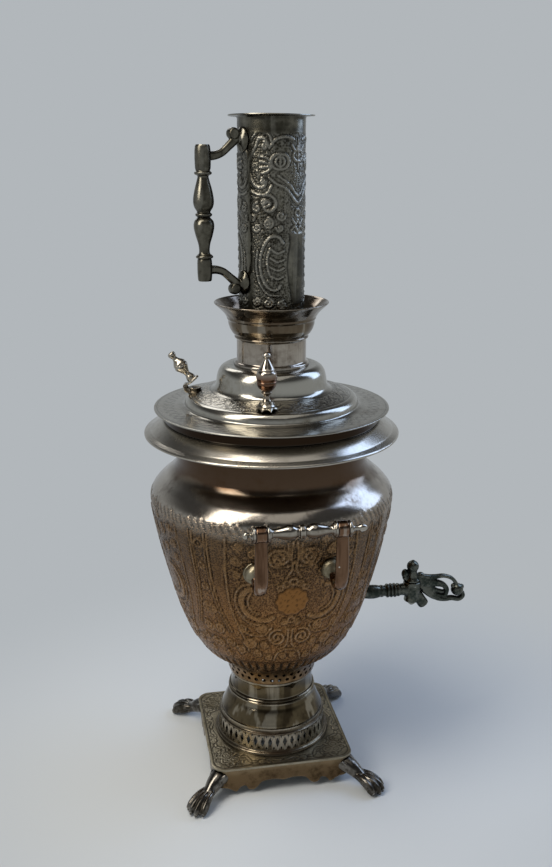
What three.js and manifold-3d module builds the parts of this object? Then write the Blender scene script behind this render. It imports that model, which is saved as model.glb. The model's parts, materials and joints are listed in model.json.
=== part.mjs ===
// A samovar: a spun metal urn that boils water round a central charcoal tube.
// It stands on a pierced pedestal with paw feet, and has two carrying handles and a plug tap.
// The loose lid has two knobs and a vent, and a teapot crown and a slip-on chimney stand on top.
// Millimetres, +Z up. The origin is on the floor, under the middle of the whole object's box.
import * as THREE from 'three';
import { mergeGeometries, mergeVertices } from 'three/addons/utils/BufferGeometryUtils.js';
import Module from 'manifold-3d';

const wasm = await Module();
wasm.setup();

// General
const seatGap = 0.3; // left between pieces that touch
const sheet = 1.4; // thickness of the spun sheet
const overrun = 2; // how far a cutter passes what it cuts
const flatness = 0.004; // faces closer to one plane than this become one face

// How finely round forms are cut
const wideSides = 24;
const middleSides = 20;
const pipeSides = 20;
const smallSides = 8;
const tinySides = 6;
const nutSides = 6;

// Base plate and apron
const plateSide = 150;
const plateTop = 33.3;
const plateThickness = 2.6;
const plateCorner = 14;
const plateBevel = 0.6;
const plateOpening = 42; // radius of the air hole under the pedestal
const apronInset = 2;
const apronWall = 1.4;
const apronDepth = 26.2;
// across the half side and down the depth, from the middle of a side to its corner
const apronEdgeShares = [
  [0, 0.69], [0.14, 0.62], [0.3, 0.66], [0.42, 0.96], [0.5, 0.97], [0.58, 0.75], [0.69, 1], [0.81, 0.79],
];

// Paw feet, on the diagonals
const pawReach = 141; // toe tips from the middle
const pawHalfWidth = 13.5;
const pawHeight = 20;
const ankleHalfWidth = 6.6;
const leafHalfWidth = 17.5;
const leafHalfHeight = 9.8;
const toeRadius = 4.1;
const toeSides = 5;
// across in toe pitches, and set back in toe radii
const toeShares = [[-1.5, 1], [-0.5, 0], [0.5, 0], [1.5, 1]];
const legLength = 56; // from the root behind the apron's corner to the toe tips

// Pedestal, from the plate up
const footFlangeRadius = 61.8;
const footFlangeHeight = 2.6;
const footBandRadius = 59;
const footBandTopRadius = 57;
const footRingHeight = 27.4;
const footRingTopRadius = 55.2;
const piercingCount = 24;
const piercingHeight = 9.6;
const piercingWidth = 5;
const bellBottomRadius = 54.4;
const bellTopRadius = 45;
const bellHeight = 22.3;
const beadRadius = 47;
const beadHeight = 5.6;
const beadBore = 43;
const neckBandRadius = 44;
const neckBandHeight = 18.8;
const galleryBottomRadius = 46;
const galleryTopRadius = 56;
const galleryHeight = 22.6;
const galleryHoleCount = 12;
const galleryHoleRadius = 2.8;

// Body
const bodyBottomRadius = 56;
const bellyRadius = 124;
const bowlHeight = 176.2;
const shoulderHeight = 35;
const neckRadius = 96.5;
const neckHeight = 43.9;
const bodyWall = 1.5;
// up the bowl and out from the bottom radius to the belly
const bowlShares = [
  [0, 0], [0.0465, 0.194], [0.132, 0.378], [0.28, 0.555], [0.5, 0.733], [0.79, 0.913], [1, 1],
];
// up the shoulder and in from the belly to the neck
const shoulderShares = [[0.25, 0.06], [0.486, 0.284], [0.714, 0.62], [1, 1]];

// Raised ornament on the body: in each panel a medallion between two C scrolls, and a fringe over the belly
const panelCount = 4;
const ornamentRise = 0.9; // how far it stands off the wall
const ornamentReach = 12; // how far a cut shape passes the wall on both sides
const medallionAboveBottom = 104.2; // its middle over the body's bottom edge
const medallionRadius = 16;
const medallionSides = 8;
const scrollHeight = 36;
const scrollHalfWidth = 2.8;
const scrollAcross = 37.5; // round the wall from the medallion's middle to a scroll's
// across from a scroll's middle and up from the medallion's, as shares of the scroll's height
const scrollShares = [[-0.12, 0.42], [0.14, 0.34], [0.29, 0.04], [0.22, -0.32], [-0.06, -0.56], [-0.5, -0.53]];
const fringeCount = 24;
const fringeAboveBelly = 9;
const fringeHeight = 7.8;
const fringeWidth = 21;
// across and up a leaf of the fringe
const fringeShares = [[-0.36, 0], [0.36, 0], [0.46, 0.6], [-0.1, 1]];

// Brim
const brimThickness = 1.8;
const brimRadius = 128;
const brimLedgeRadius = 108.8;
const brimSlopeRadius = 121.5;
const brimSlopeDrop = 9;
const brimLipDrop = 3.7;
const brimSpigotDepth = 8;

// Fire tube and grate
const tubeRadius = 29.6;
const tubeWall = 1.3;
const tubeFootRadius = 46;
const tubeFlangeRadius = 52;
const tubeConeHeight = 100;
const tubeLipRadius = 40.5;
const tubeAboveLid = 27;
const tubeStopRadius = 31.3;
const tubeStopHeight = 3;
const tubeStopAboveLid = 5;
const floorHoleRadius = 42.5;
const grateThickness = 2.5;
const grateBarWidth = 4;
const grateSlotWidth = 5;
const grateRim = 5;

// Lid
const lidSheet = 1.4;
const lidRadius = 117.6;
const lidSkirtRadius = 108;
const lidSkirtHeight = 10.7;
const lidSpigotRadius = 91.5;
const lidSpigotDepth = 14;
const lidRollRadius = 86;
const lidRollHeight = 11.1;
const lidBandRadius = 80;
const lidBandRise = 6.2;
const lidDomeRadius = 59.5;
const lidDomeHeight = 24.3;
const lidCrownRadius = 44;
const lidHoleRadius = 32.8;
const lidKnobCircle = 71; // radius of the circle through both knobs
const lidTurn = THREE.MathUtils.degToRad(-104); // where the front knob stands
const lidFacetTurn = THREE.MathUtils.degToRad(9); // puts the knobs and the vent on the middles of facets

// Lid knobs
const knobHeight = 50;
const knobRadius = 9.8;
const knobStudRadius = 2;
const rosetteRadius = 10;
const rosetteHeight = 3.2;
const rosettePetals = 8;
const knobNutRadius = 4.4;
const knobNutHeight = 3;
// out from the axis and up a knob
const knobShares = [
  [0.42, 0], [0.3, 0.12], [0.38, 0.2], [0.8, 0.34], [1, 0.5],
  [0.92, 0.66], [0.45, 0.8], [0.24, 0.88], [0.32, 0.94], [0, 1],
];

// Steam vent and its hinged cap
const ventCircle = 77;
const ventAngle = THREE.MathUtils.degToRad(167);
const ventSeatHeight = 4.5;
const ventHoleRadius = 3;
const ventCapRadius = 9;
const ventCapThickness = 2.4;
const ventPetals = 8;
const ventLean = THREE.MathUtils.degToRad(39);
const ventPinRadius = 0.9;
const ventKnuckleRadius = 2.2;
const ventKnuckleLength = 5;
const ventEarThickness = 2;
const ventFinialHeight = 36;
const ventFinialRadius = 6.2;
const ventFinialShares = [
  [0.62, 0], [0.38, 0.22], [0.6, 0.37], [1, 0.48], [0.95, 0.56],
  [0.5, 0.68], [0.34, 0.84], [0.52, 0.91], [0, 1],
];

// Teapot crown
const crownFootRadius = 37;
const crownFootHeight = 3;
const crownNeckRadius = 34.3;
const crownNeckHeight = 25.4;
const crownCupRadius = 42.5;
const crownCupHeight = 33;
const crownRimRadius = 56.2;
const crownSheet = 1.4;
// out from the neck to the cup's side, and up the cup
const crownBowlShares = [[0.14, 0], [0.7, 0.12], [1, 0.35]];
// out from the cup's side to the rim, and up the cup
const crownFlareShares = [[0.11, 0.53], [0.38, 0.71], [0.78, 0.87], [1, 1]];

// Chimney
const chimneyRadius = 31.6;
const chimneyTopRadius = 32.1;
const chimneyWall = 1.2;
const chimneyHeight = 226.3;
const chimneyFlangeRadius = 40.7;
const chimneyFlangeThickness = 1.6;

// Chimney handle
const handleAngle = THREE.MathUtils.degToRad(204);
const gripReach = 74.5; // grip's axis from the chimney's
const gripLength = 121;
const gripBelowTop = 26.8; // grip's upper end under the chimney's top
const gripRadius = 9.5;
const gripShares = [
  [0.68, 0], [0.68, 0.165], [0.82, 0.175], [0.82, 0.19], [0.54, 0.2], [0.56, 0.27],
  [0.88, 0.36], [1, 0.41], [0.64, 0.48], [0.78, 0.495], [0.64, 0.51], [1, 0.58],
  [0.84, 0.69], [0.54, 0.78], [0.82, 0.79], [0.82, 0.805], [0.68, 0.815], [0.68, 1],
];
const armThickness = 4.2; // half the arm's depth
const armHalfWidth = 3.8;
const armEndInset = 9.8; // arm's axis from the grip's end
const armRise = 14; // how far an arm climbs from grip to chimney
const scrollRadius = 5.2;
const bossHalfWidth = 9;
const bossHalfHeight = 12;
const bossDepth = 5;

// Carrying handles, front and back
const handleSpread = 38; // bracket's middle from the object's middle plane
const barReach = 150;
const barAboveBelly = 15.5;
const bossBelowBelly = 38;
const strapHalfWidth = 6;
const strapHalfThickness = 2.6;
const strapDip = 5.5; // how far the strap dips under its boss
const bracketBossRadius = 9;
const bracketBossHeight = 11;
const bracketHeadRadius = 8.2;
const barRodRadius = 3;
const barRadius = 7;
const barFinialLength = 15;
const barFinialRadius = 5.2;
const studRadius = 2.6;
const studLength = 20;
const nutRadius = 5.6;
const nutHeight = 4;
const barShares = [
  [0.86, 0], [0.86, 0.06], [0.55, 0.1], [0.7, 0.2], [1, 0.32], [0.62, 0.45], [0.92, 0.47], [0.92, 0.53],
  [0.62, 0.55], [1, 0.68], [0.7, 0.8], [0.55, 0.9], [0.86, 0.94], [0.86, 1],
];
const barFinialShares = [[0.8, 0], [0.8, 0.16], [0.55, 0.3], [1, 0.6], [0.75, 0.87], [0, 1]];

// Tap
const tapAboveBottom = 52.2;
const tapPipeRadius = 6.3;
const tapBoreRadius = 3.8;
const tapInsideLength = 14; // how far the pipe stands inside the body
const tapFlangeRadius = 13;
const tapFlangeThickness = 3.5;
const tapNutRadius = 10.5;
const tapNutHeight = 4;
const tapBarrelReach = 157; // barrel's axis from the body's
const tapBarrelRadius = 9.5;
const tapBarrelTop = 9.5; // above the pipe's axis
const tapBarrelBottom = 14; // under the pipe's axis
const tapCollarRadius = 7.6;
const tapCollarWidth = 2.4;
const tapCollarPitch = 3.6;
const tapCollarCount = 4;
const tapCollarStart = 128;
const spoutDrop = 20; // nozzle's end under the pipe's axis
const spoutThrow = 14.5; // nozzle's end past the barrel's axis
const spoutRadius = 6.6;
const spoutEndRadius = 5.8;
const plugTopRadius = 5.6;
const plugBottomRadius = 4.4;
const plugPortRadius = 3;
const plugTailRadius = 2.2;
const plugTailLength = 5;
const plugNutRadius = 3.9;
const plugNutHeight = 3;
const keyLength = 61.5; // barrel's axis to the handle's tip
const keyKnobRadius = 6.6;
const keyKnobRise = 17.5; // knob's middle above the barrel
const keyCollarRadius = 8.4;
const keyLobeRadius = 4.6;
const keyLobeStagger = 2; // one lobe stands higher and the other lower by this
const keyLobeReach = 9;
const keyHalfWidth = 3.6;
const keyBarHalfHeight = 2.4;
const keyBallRadius = 7;
// out along the handle and up from the pipe's axis, as shares of the handle's length
const keyUpperShares = [[0.05, 0.24], [0.19, 0.22], [0.42, 0.18], [0.62, 0.19], [0.78, 0.1], [0.86, -0.02]];
const keyLowerShares = [[0.86, -0.3], [0.7, -0.27], [0.5, -0.24], [0.4, -0.12], [0.3, 0.06], [0.2, 0.17]];
const keyLipShares = [[0.86, -0.05], [0.96, -0.14], [0.965, -0.24], [0.84, -0.29], [0.6, -0.24]];
const keyLeafShares = [[0.25, 0.12], [0.45, 0.1], [0.62, 0.02], [0.67, -0.12], [0.63, -0.25]];

// Levels that follow from the sizes above
const plateUnder = plateTop - plateThickness;
const footRingBottom = plateTop + seatGap;
const footRingTop = footRingBottom + footRingHeight;
const bellBottom = footRingTop + seatGap;
const bellTop = bellBottom + bellHeight;
const beadBottom = bellTop + seatGap;
const neckBandBottom = beadBottom + beadHeight + seatGap;
const galleryBottom = neckBandBottom + neckBandHeight + seatGap;
const bodyBottom = galleryBottom + galleryHeight + seatGap;
const bellyLevel = bodyBottom + bowlHeight;
const neckBottom = bellyLevel + shoulderHeight;
const neckTop = neckBottom + neckHeight;
const brimUnder = neckTop + seatGap;
const brimLedge = brimUnder + brimThickness;
const lidBottom = brimLedge + seatGap;
const lidFlangeUnder = lidBottom + lidSkirtHeight;
const lidFlangeTop = lidFlangeUnder + lidSheet;
const lidRollTop = lidFlangeTop + lidRollHeight;
const lidBandTop = lidRollTop + lidBandRise;
const lidTop = lidBandTop + lidDomeHeight;
const crownBottom = lidTop + seatGap;
const crownNeckTop = crownBottom + crownFootHeight + crownNeckHeight;
const crownTop = crownNeckTop + crownCupHeight;
const tubeBottom = bodyBottom + bodyWall + seatGap;
const tubeTop = lidTop + tubeAboveLid;
const tubeStop = lidTop + tubeStopAboveLid;
const chimneyBottom = tubeStop + tubeStopHeight + seatGap;
const chimneyTop = chimneyBottom + chimneyHeight;
const tapLevel = bodyBottom + tapAboveBottom;
const barLevel = bellyLevel + barAboveBelly;
const bossLevel = bellyLevel - bossBelowBelly;
const tapReach = tapBarrelReach + keyLength;
const axisShift = (brimRadius - tapReach) / 2; // puts the origin under the middle of the box

// Finishes
const finish = (color, roughness) => new THREE.MeshStandardMaterial({ color, roughness, metalness: 1 });
const polished = finish(0xbdb7ac, 0.24);
const chased = finish(0x8f877b, 0.42);
const aged = finish(0x6f5d4c, 0.46);
const smoked = finish(0x6a655f, 0.4);
const darkened = finish(0x2d332f, 0.5);
const sooty = finish(0x35312d, 0.75);

const samovar = new THREE.Group();
samovar.position.x = axisShift;

function addPart(name, geometry, material) {
  const mesh = new THREE.Mesh(geometry, material);
  mesh.name = name;
  samovar.add(mesh);
}

// Solids: joining and cutting

function solidOf(geometry) {
  const bare = geometry.clone();
  bare.deleteAttribute('normal');
  bare.deleteAttribute('uv');
  const merged = mergeVertices(bare);
  const corners = merged.index.array;
  const kept = [];
  for (let i = 0; i < corners.length; i += 3) {
    const [a, b, c] = [corners[i], corners[i + 1], corners[i + 2]];
    if (a !== b && b !== c && c !== a) {
      kept.push(a, b, c);
    }
  }
  const vertProperties = merged.attributes.position.array;
  return new wasm.Manifold(new wasm.Mesh({ numProp: 3, vertProperties, triVerts: new Uint32Array(kept) }));
}

function geometryOf(solid) {
  const mesh = solid.simplify(flatness).getMesh();
  const geometry = new THREE.BufferGeometry();
  geometry.setAttribute('position', new THREE.BufferAttribute(mesh.vertProperties, 3));
  geometry.setIndex(new THREE.BufferAttribute(mesh.triVerts, 1));
  geometry.computeVertexNormals();
  return geometry;
}

function joined(geometries) {
  return geometries.map(solidOf).reduce((whole, piece) => whole.add(piece));
}

function cut(solid, cutters) {
  return cutters.map(solidOf).reduce((whole, cutter) => whole.subtract(cutter), solid);
}

// Shapes

// A profile of [radius, height] pairs turned about the Z axis; it runs up the outside.
function turned(profile, sides) {
  const points = profile.map(([radius, height]) => new THREE.Vector2(radius, height));
  const geometry = new THREE.LatheGeometry(points, sides);
  geometry.rotateX(Math.PI / 2);
  return geometry;
}

// A thin turned wall: the outside is given from the bottom up and the inside follows it.
function turnedWall(outside, inside, sides) {
  return turned([...outside, ...[...inside].reverse(), outside[0]], sides);
}

// The same outline drawn in by a wall's thickness.
function insideOf(outline, wall) {
  return outline.map(([radius, height], i) => {
    const before = outline[Math.max(i - 1, 0)];
    const after = outline[Math.min(i + 1, outline.length - 1)];
    const run = new THREE.Vector2(after[0] - before[0], after[1] - before[1]).normalize();
    return [radius - wall * run.y, height + wall * run.x];
  });
}

// The inside of an upright wall, cut off level with the outside's ends.
function liningOf(outline, wall) {
  const lining = insideOf(outline, wall);
  lining[0][1] = outline[0][1];
  lining[lining.length - 1][1] = outline[outline.length - 1][1];
  return lining;
}

// The space under an outline, down to a floor and in to the axis.
function filled(outline, sides) {
  const bottom = outline[0][1];
  const top = outline[outline.length - 1][1];
  return turned([[0, bottom], ...outline, [0, top]], sides);
}

function profileOf(shares, radius, height, start = 0) {
  return shares.map(([across, up]) => [across * radius, start + up * height]);
}

function turnedSolid(shares, radius, height, start = 0, sides = smallSides) {
  const profile = profileOf(shares, radius, height, start);
  const last = profile[profile.length - 1];
  const closed = last[0] > 0 ? [...profile, [0, last[1]]] : profile;
  return turned([[0, profile[0][1]], ...closed], sides);
}

function radiusAt(outline, level) {
  const next = outline.findIndex((point) => point[1] >= level);
  const [lowRadius, lowLevel] = outline[Math.max(next - 1, 0)];
  const [highRadius, highLevel] = outline[next];
  return THREE.MathUtils.mapLinear(level, lowLevel, highLevel, lowRadius, highRadius);
}

// A straight rod or cone between two points.
function rod(start, end, startRadius, endRadius = startRadius, sides = smallSides) {
  const along = end.clone().sub(start);
  const geometry = new THREE.CylinderGeometry(endRadius, startRadius, along.length(), sides);
  geometry.translate(0, along.length() / 2, 0);
  const turn = new THREE.Quaternion().setFromUnitVectors(THREE.Object3D.DEFAULT_UP, along.normalize());
  geometry.applyQuaternion(turn);
  return geometry.translate(start.x, start.y, start.z);
}

function ball(at, radius, stretch = [1, 1, 1], sides = tinySides) {
  const geometry = new THREE.SphereGeometry(radius, sides, sides - 2);
  geometry.rotateX(Math.PI / 2);
  geometry.scale(...stretch);
  return geometry.translate(at.x, at.y, at.z);
}

// A closed skin through rings of equal point count, with a fan at each end.
function skinned(rings) {
  const count = rings[0].length;
  const points = rings.flat();
  const first = points.length;
  const last = first + 1;
  for (const ring of [rings[0], rings[rings.length - 1]]) {
    const middle = ring.reduce((sum, point) => sum.add(point), new THREE.Vector3()).divideScalar(count);
    points.push(middle);
  }
  const index = [];
  for (let j = 0; j < count; j += 1) {
    const k = (j + 1) % count;
    for (let i = 0; i < rings.length - 1; i += 1) {
      const [a, b, c, d] = [i * count + j, i * count + k, (i + 1) * count + j, (i + 1) * count + k];
      index.push(a, b, c, b, d, c);
    }
    const end = (rings.length - 1) * count;
    index.push(first, k, j, last, end + j, end + k);
  }
  const geometry = new THREE.BufferGeometry().setFromPoints(points);
  geometry.setIndex(index);
  return geometry;
}

// A bar swept along stations in an upright plane.
// A station is [distance out, height, half width, half depth].
function swept(stations, angle, steps, sides = tinySides) {
  const out = new THREE.Vector3(Math.cos(angle), Math.sin(angle), 0);
  const side = new THREE.Vector3(-Math.sin(angle), Math.cos(angle), 0);
  const path = new THREE.CatmullRomCurve3(stations.map(([x, z]) => new THREE.Vector3(x, z, 0)));
  const halves = stations.map(([, , wide, deep]) => new THREE.Vector3(wide, deep, 0));
  const sizes = new THREE.CatmullRomCurve3(halves);
  const rings = [];
  for (let i = 0; i <= steps; i += 1) {
    const at = path.getPoint(i / steps);
    const size = sizes.getPoint(i / steps);
    const run = path.getTangent(i / steps);
    const along = out.clone().multiplyScalar(run.x).setZ(run.y).normalize();
    const up = new THREE.Vector3().crossVectors(along, side);
    const middle = out.clone().multiplyScalar(at.x).setZ(at.y);
    const ring = [];
    for (let j = 0; j < sides; j += 1) {
      const turn = ((j + 0.5) / sides) * 2 * Math.PI;
      const point = middle.clone().addScaledVector(side, size.x * Math.cos(turn));
      ring.push(point.addScaledVector(up, size.y * Math.sin(turn)));
    }
    rings.push(ring);
  }
  return skinned(rings);
}

function prism(points, depth) {
  const shape = new THREE.Shape(points.map(([x, y]) => new THREE.Vector2(x, y)));
  return new THREE.ExtrudeGeometry(shape, { depth, bevelEnabled: false });
}

// A prism whose outline faces outwards through a wall at an angle round the axis.
function radialCutter(points, angle, radius, level, reach = overrun * 2) {
  const geometry = prism(points, reach * 2);
  const out = new THREE.Vector3(Math.cos(angle), Math.sin(angle), 0);
  const tangent = new THREE.Vector3(-Math.sin(angle), Math.cos(angle), 0);
  geometry.applyMatrix4(new THREE.Matrix4().makeBasis(tangent, new THREE.Vector3(0, 0, 1), out));
  return geometry.translate(out.x * (radius - reach), out.y * (radius - reach), level);
}

// Cutters in a ring, turned on by a share of their pitch so that each one meets the middle of a facet.
function ringOfCutters(points, count, shift, radius, level, reach) {
  const cutters = [];
  for (let i = 0; i < count; i += 1) {
    cutters.push(radialCutter(points, ((i + shift) / count) * 2 * Math.PI, radius, level, reach));
  }
  return mergeGeometries(cutters);
}

function polygon(radius, sides, turn = 0) {
  const points = [];
  for (let i = 0; i < sides; i += 1) {
    const angle = turn + (i / sides) * 2 * Math.PI;
    points.push([radius * Math.cos(angle), radius * Math.sin(angle)]);
  }
  return points;
}

// A disc with a scalloped edge.
const scallopDip = 0.84; // reach between two petals, as a share of the radius

function rosette(radius, height, petals, level) {
  const points = [];
  for (let i = 0; i < petals * 2; i += 1) {
    const angle = (i / petals) * Math.PI;
    const reach = i % 2 === 0 ? radius : radius * scallopDip;
    points.push([reach * Math.cos(angle), reach * Math.sin(angle)]);
  }
  return prism(points, height).translate(0, 0, level);
}

function squareShape(half, corner) {
  const shape = new THREE.Shape();
  const flat = half - corner;
  shape.moveTo(half, -flat);
  shape.lineTo(half, flat);
  shape.absarc(flat, flat, corner, 0, Math.PI / 2);
  shape.absarc(-flat, flat, corner, Math.PI / 2, Math.PI);
  shape.absarc(-flat, -flat, corner, Math.PI, Math.PI * 1.5);
  shape.absarc(flat, -flat, corner, Math.PI * 1.5, Math.PI * 2);
  return shape;
}

// Base

function basePlate() {
  const shape = squareShape(plateSide / 2 - plateBevel, plateCorner);
  const opening = polygon(plateOpening + plateBevel, tinySides * 2).map(([x, y]) => new THREE.Vector2(x, y));
  shape.holes.push(new THREE.Path(opening.reverse()));
  const geometry = new THREE.ExtrudeGeometry(shape, {
    depth: plateThickness - 2 * plateBevel,
    bevelThickness: plateBevel,
    bevelSize: plateBevel,
    bevelSegments: 1,
    curveSegments: 3,
  });
  return geometry.translate(0, 0, plateUnder + plateBevel);
}

const apronHalf = plateSide / 2 - apronInset;
const apronCorner = plateCorner - apronInset;
const apronTop = plateUnder - seatGap;

// The apron is a thin skirt round the plate's edge, cut below to a row of lobes.
function apron() {
  const cornerSteps = 2;
  const sideRun = [...apronEdgeShares.slice(1).reverse().map(([x, z]) => [-x, z]), ...apronEdgeShares];
  const stops = [];
  for (let side = 0; side < 4; side += 1) {
    for (const [across, down] of sideRun) {
      stops.push({ side, across: across * apronHalf, corner: null, down });
    }
    for (let i = 0; i <= cornerSteps; i += 1) {
      stops.push({ side, across: 0, corner: i / cornerSteps, down: sideRun[sideRun.length - 1][1] });
    }
  }
  const rings = stops.map(({ side, across, corner, down }) => {
    const flat = apronHalf - apronCorner;
    const turn = corner === null ? 0 : (corner * Math.PI) / 2;
    const middle = corner === null ? new THREE.Vector3(flat, across, 0) : new THREE.Vector3(flat, flat, 0);
    const out = new THREE.Vector3(Math.cos(turn), Math.sin(turn), 0);
    const outer = middle.clone().addScaledVector(out, apronCorner);
    const inner = middle.clone().addScaledVector(out, apronCorner - apronWall);
    const bottom = apronTop - down * apronDepth;
    const corners = [[outer, bottom], [outer, apronTop], [inner, apronTop], [inner, bottom]];
    return corners.map(([point, level]) => {
      const placed = point.clone().setZ(level);
      return placed.applyAxisAngle(new THREE.Vector3(0, 0, 1), (side * Math.PI) / 2);
    });
  });
  const index = [];
  for (let i = 0; i < rings.length; i += 1) {
    const next = (i + 1) % rings.length;
    for (let j = 0; j < 4; j += 1) {
      const k = (j + 1) % 4;
      const [a, b, c, d] = [i * 4 + j, next * 4 + j, next * 4 + k, i * 4 + k];
      index.push(a, b, c, a, c, d);
    }
  }
  const geometry = new THREE.BufferGeometry().setFromPoints(rings.flat());
  geometry.setIndex(index);
  return geometry;
}

// A cast foot: a leaf that wraps the apron's corner, a thin leg and a paw with four toes.
// The sole is cut flat to stand on.
function pawFoot(angle) {
  const root = pawReach - legLength;
  const paw = pawHeight / 2;
  const leafLevel = apronTop - leafHalfHeight - seatGap;
  const leg = swept([
    [root, leafLevel, leafHalfWidth, leafHalfHeight],
    [root + legLength * 0.2, leafLevel, leafHalfWidth * 0.9, leafHalfHeight],
    [root + legLength * 0.33, leafLevel * 0.91, leafHalfWidth * 0.62, leafHalfHeight * 0.9],
    [root + legLength * 0.44, leafLevel * 0.74, ankleHalfWidth * 1.15, leafHalfHeight * 0.74],
    [root + legLength * 0.55, leafLevel * 0.57, ankleHalfWidth, leafHalfHeight * 0.64],
    [root + legLength * 0.65, paw * 0.95, pawHalfWidth * 0.8, paw * 0.92],
    [root + legLength * 0.77, paw * 0.84, pawHalfWidth, paw * 1.02],
    [root + legLength * 0.88, paw * 0.62, pawHalfWidth * 0.9, paw * 0.82],
    [root + legLength * 0.95, paw * 0.42, pawHalfWidth * 0.74, paw * 0.5],
  ], angle, 6, smallSides);
  const out = new THREE.Vector3(Math.cos(angle), Math.sin(angle), 0);
  const side = new THREE.Vector3(-Math.sin(angle), Math.cos(angle), 0);
  const toes = [];
  for (const [pitches, setBack] of toeShares) {
    const tip = pawReach - setBack * toeRadius;
    const toe = swept([
      [tip - toeRadius * 4, paw * 0.95, toeRadius * 0.9, toeRadius * 1.9],
      [tip - toeRadius * 1.7, paw * 0.72, toeRadius, toeRadius * 1.9],
      [tip, toeRadius * 0.8, toeRadius * 0.7, toeRadius * 0.8],
    ], angle, 2, toeSides);
    const across = pitches * toeRadius * 1.6;
    toes.push(toe.translate(side.x * across, side.y * across, 0));
  }
  const floorBlock = new THREE.BoxGeometry(plateSide, plateSide, plateSide);
  floorBlock.translate(out.x * pawReach, out.y * pawReach, -plateSide / 2);
  const cornerBlock = new THREE.ExtrudeGeometry(
    squareShape(apronHalf + seatGap, apronCorner + seatGap),
    { depth: plateTop, bevelEnabled: false, curveSegments: 4 },
  );
  return geometryOf(cut(joined([leg, ...toes]), [floorBlock, cornerBlock]));
}

addPart('base_plate', basePlate(), chased);
addPart('base_apron', apron(), aged);
const feet = { front_right: -45, back_right: 45, back_left: 135, front_left: -135 };
for (const [place, degrees] of Object.entries(feet)) {
  addPart(`paw_foot_${place}`, pawFoot(THREE.MathUtils.degToRad(degrees)), darkened);
}

// Pedestal

// The lowest ring carries a flange and a band pierced with tall lozenges.
function footRing() {
  const flangeTop = footRingBottom + footFlangeHeight;
  const bandTop = footRingBottom + footRingHeight * 0.82;
  const outside = [
    [footFlangeRadius, footRingBottom],
    [footFlangeRadius, flangeTop],
    [footBandRadius, flangeTop + sheet],
    [footBandTopRadius, bandTop],
    [footRingTopRadius, bandTop + sheet],
    [footRingTopRadius, footRingTop],
  ];
  const inside = [
    [footBandRadius - sheet, footRingBottom],
    [footBandTopRadius - sheet, bandTop],
    [footRingTopRadius - sheet, footRingTop],
  ];
  const widest = piercingHeight * 0.45;
  const lozenge = [[0, 0], [piercingWidth / 2, widest], [0, piercingHeight], [-piercingWidth / 2, widest]];
  const cutter = ringOfCutters(lozenge, piercingCount, 0.5, footBandRadius, bandTop - piercingHeight - sheet);
  return geometryOf(cut(solidOf(turnedWall(outside, inside, piercingCount)), [cutter]));
}

function pedestalBell() {
  const outside = [
    [bellBottomRadius, bellBottom],
    [THREE.MathUtils.lerp(bellBottomRadius, bellTopRadius, 0.14), bellBottom + bellHeight * 0.24],
    [THREE.MathUtils.lerp(bellBottomRadius, bellTopRadius, 0.82), bellBottom + bellHeight * 0.76],
    [bellTopRadius, bellTop],
  ];
  return turnedWall(outside, liningOf(outside, sheet), middleSides);
}

function pedestalBead() {
  const round = beadRadius - beadBore;
  return turned([
    [beadBore, beadBottom],
    [beadRadius - round * 0.4, beadBottom],
    [beadRadius, beadBottom + beadHeight / 2],
    [beadRadius - round * 0.4, beadBottom + beadHeight],
    [beadBore, beadBottom + beadHeight],
    [beadBore, beadBottom],
  ], middleSides);
}

function neckBand() {
  const top = neckBandBottom + neckBandHeight;
  const outside = [
    [neckBandRadius, neckBandBottom],
    [neckBandRadius, top - sheet * 2],
    [neckBandRadius + sheet / 2, top - sheet],
    [neckBandRadius + sheet / 2, top],
  ];
  const inside = [[neckBandRadius - sheet, neckBandBottom], [neckBandRadius - sheet, top]];
  return turnedWall(outside, inside, middleSides);
}

// The upper gallery lets air in under the grate through two rows of round holes.
function neckGallery() {
  const top = galleryBottom + galleryHeight;
  const flare = (share) => THREE.MathUtils.lerp(galleryBottomRadius, galleryTopRadius, share);
  const outside = [
    [galleryBottomRadius, galleryBottom],
    [flare(0.2), galleryBottom + galleryHeight * 0.42],
    [flare(0.54), galleryBottom + galleryHeight * 0.72],
    [galleryTopRadius, top],
  ];
  const hole = polygon(galleryHoleRadius, 4);
  const rows = [0.27, 0.57].map((share, row) => {
    const level = galleryBottom + galleryHeight * share;
    return ringOfCutters(hole, galleryHoleCount, row / 2 + 0.25, radiusAt(outside, level), level);
  });
  return geometryOf(cut(solidOf(turnedWall(outside, liningOf(outside, sheet), galleryHoleCount * 2)), rows));
}

addPart('foot_ring', footRing(), chased);
addPart('pedestal_bell', pedestalBell(), polished);
addPart('pedestal_bead', pedestalBead(), polished);
addPart('neck_band', neckBand(), polished);
addPart('neck_gallery', neckGallery(), chased);

// Body

const bowlOutline = bowlShares.map(([up, out]) => [
  THREE.MathUtils.lerp(bodyBottomRadius, bellyRadius, out),
  bodyBottom + up * bowlHeight,
]);
const shoulderOutline = shoulderShares.map(([up, drop]) => [
  THREE.MathUtils.lerp(bellyRadius, neckRadius, drop),
  bellyLevel + up * shoulderHeight,
]);
const bodyOutline = [...bowlOutline, ...shoulderOutline, [neckRadius, neckTop]];
const bodyLining = liningOf(bodyOutline, bodyWall).filter((point, i) => i % 2 === 0 || point[1] > bellyLevel);
const outsideSpace = filled(bodyOutline.map(([radius, level]) => [radius + seatGap, level]), wideSides);
const insideSpace = filled(bodyLining.map(([radius, level]) => [radius - seatGap, level]), wideSides);

const front = -1;
const back = 1;
const handlePlaces = [
  ['front_left', -handleSpread, front],
  ['front_right', handleSpread, front],
  ['back_left', -handleSpread, back],
  ['back_right', handleSpread, back],
];

// How far out a bracket's stud crosses the wall.
function wallReach(across, level) {
  return Math.sqrt(radiusAt(bodyOutline, level) ** 2 - across ** 2);
}

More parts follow.
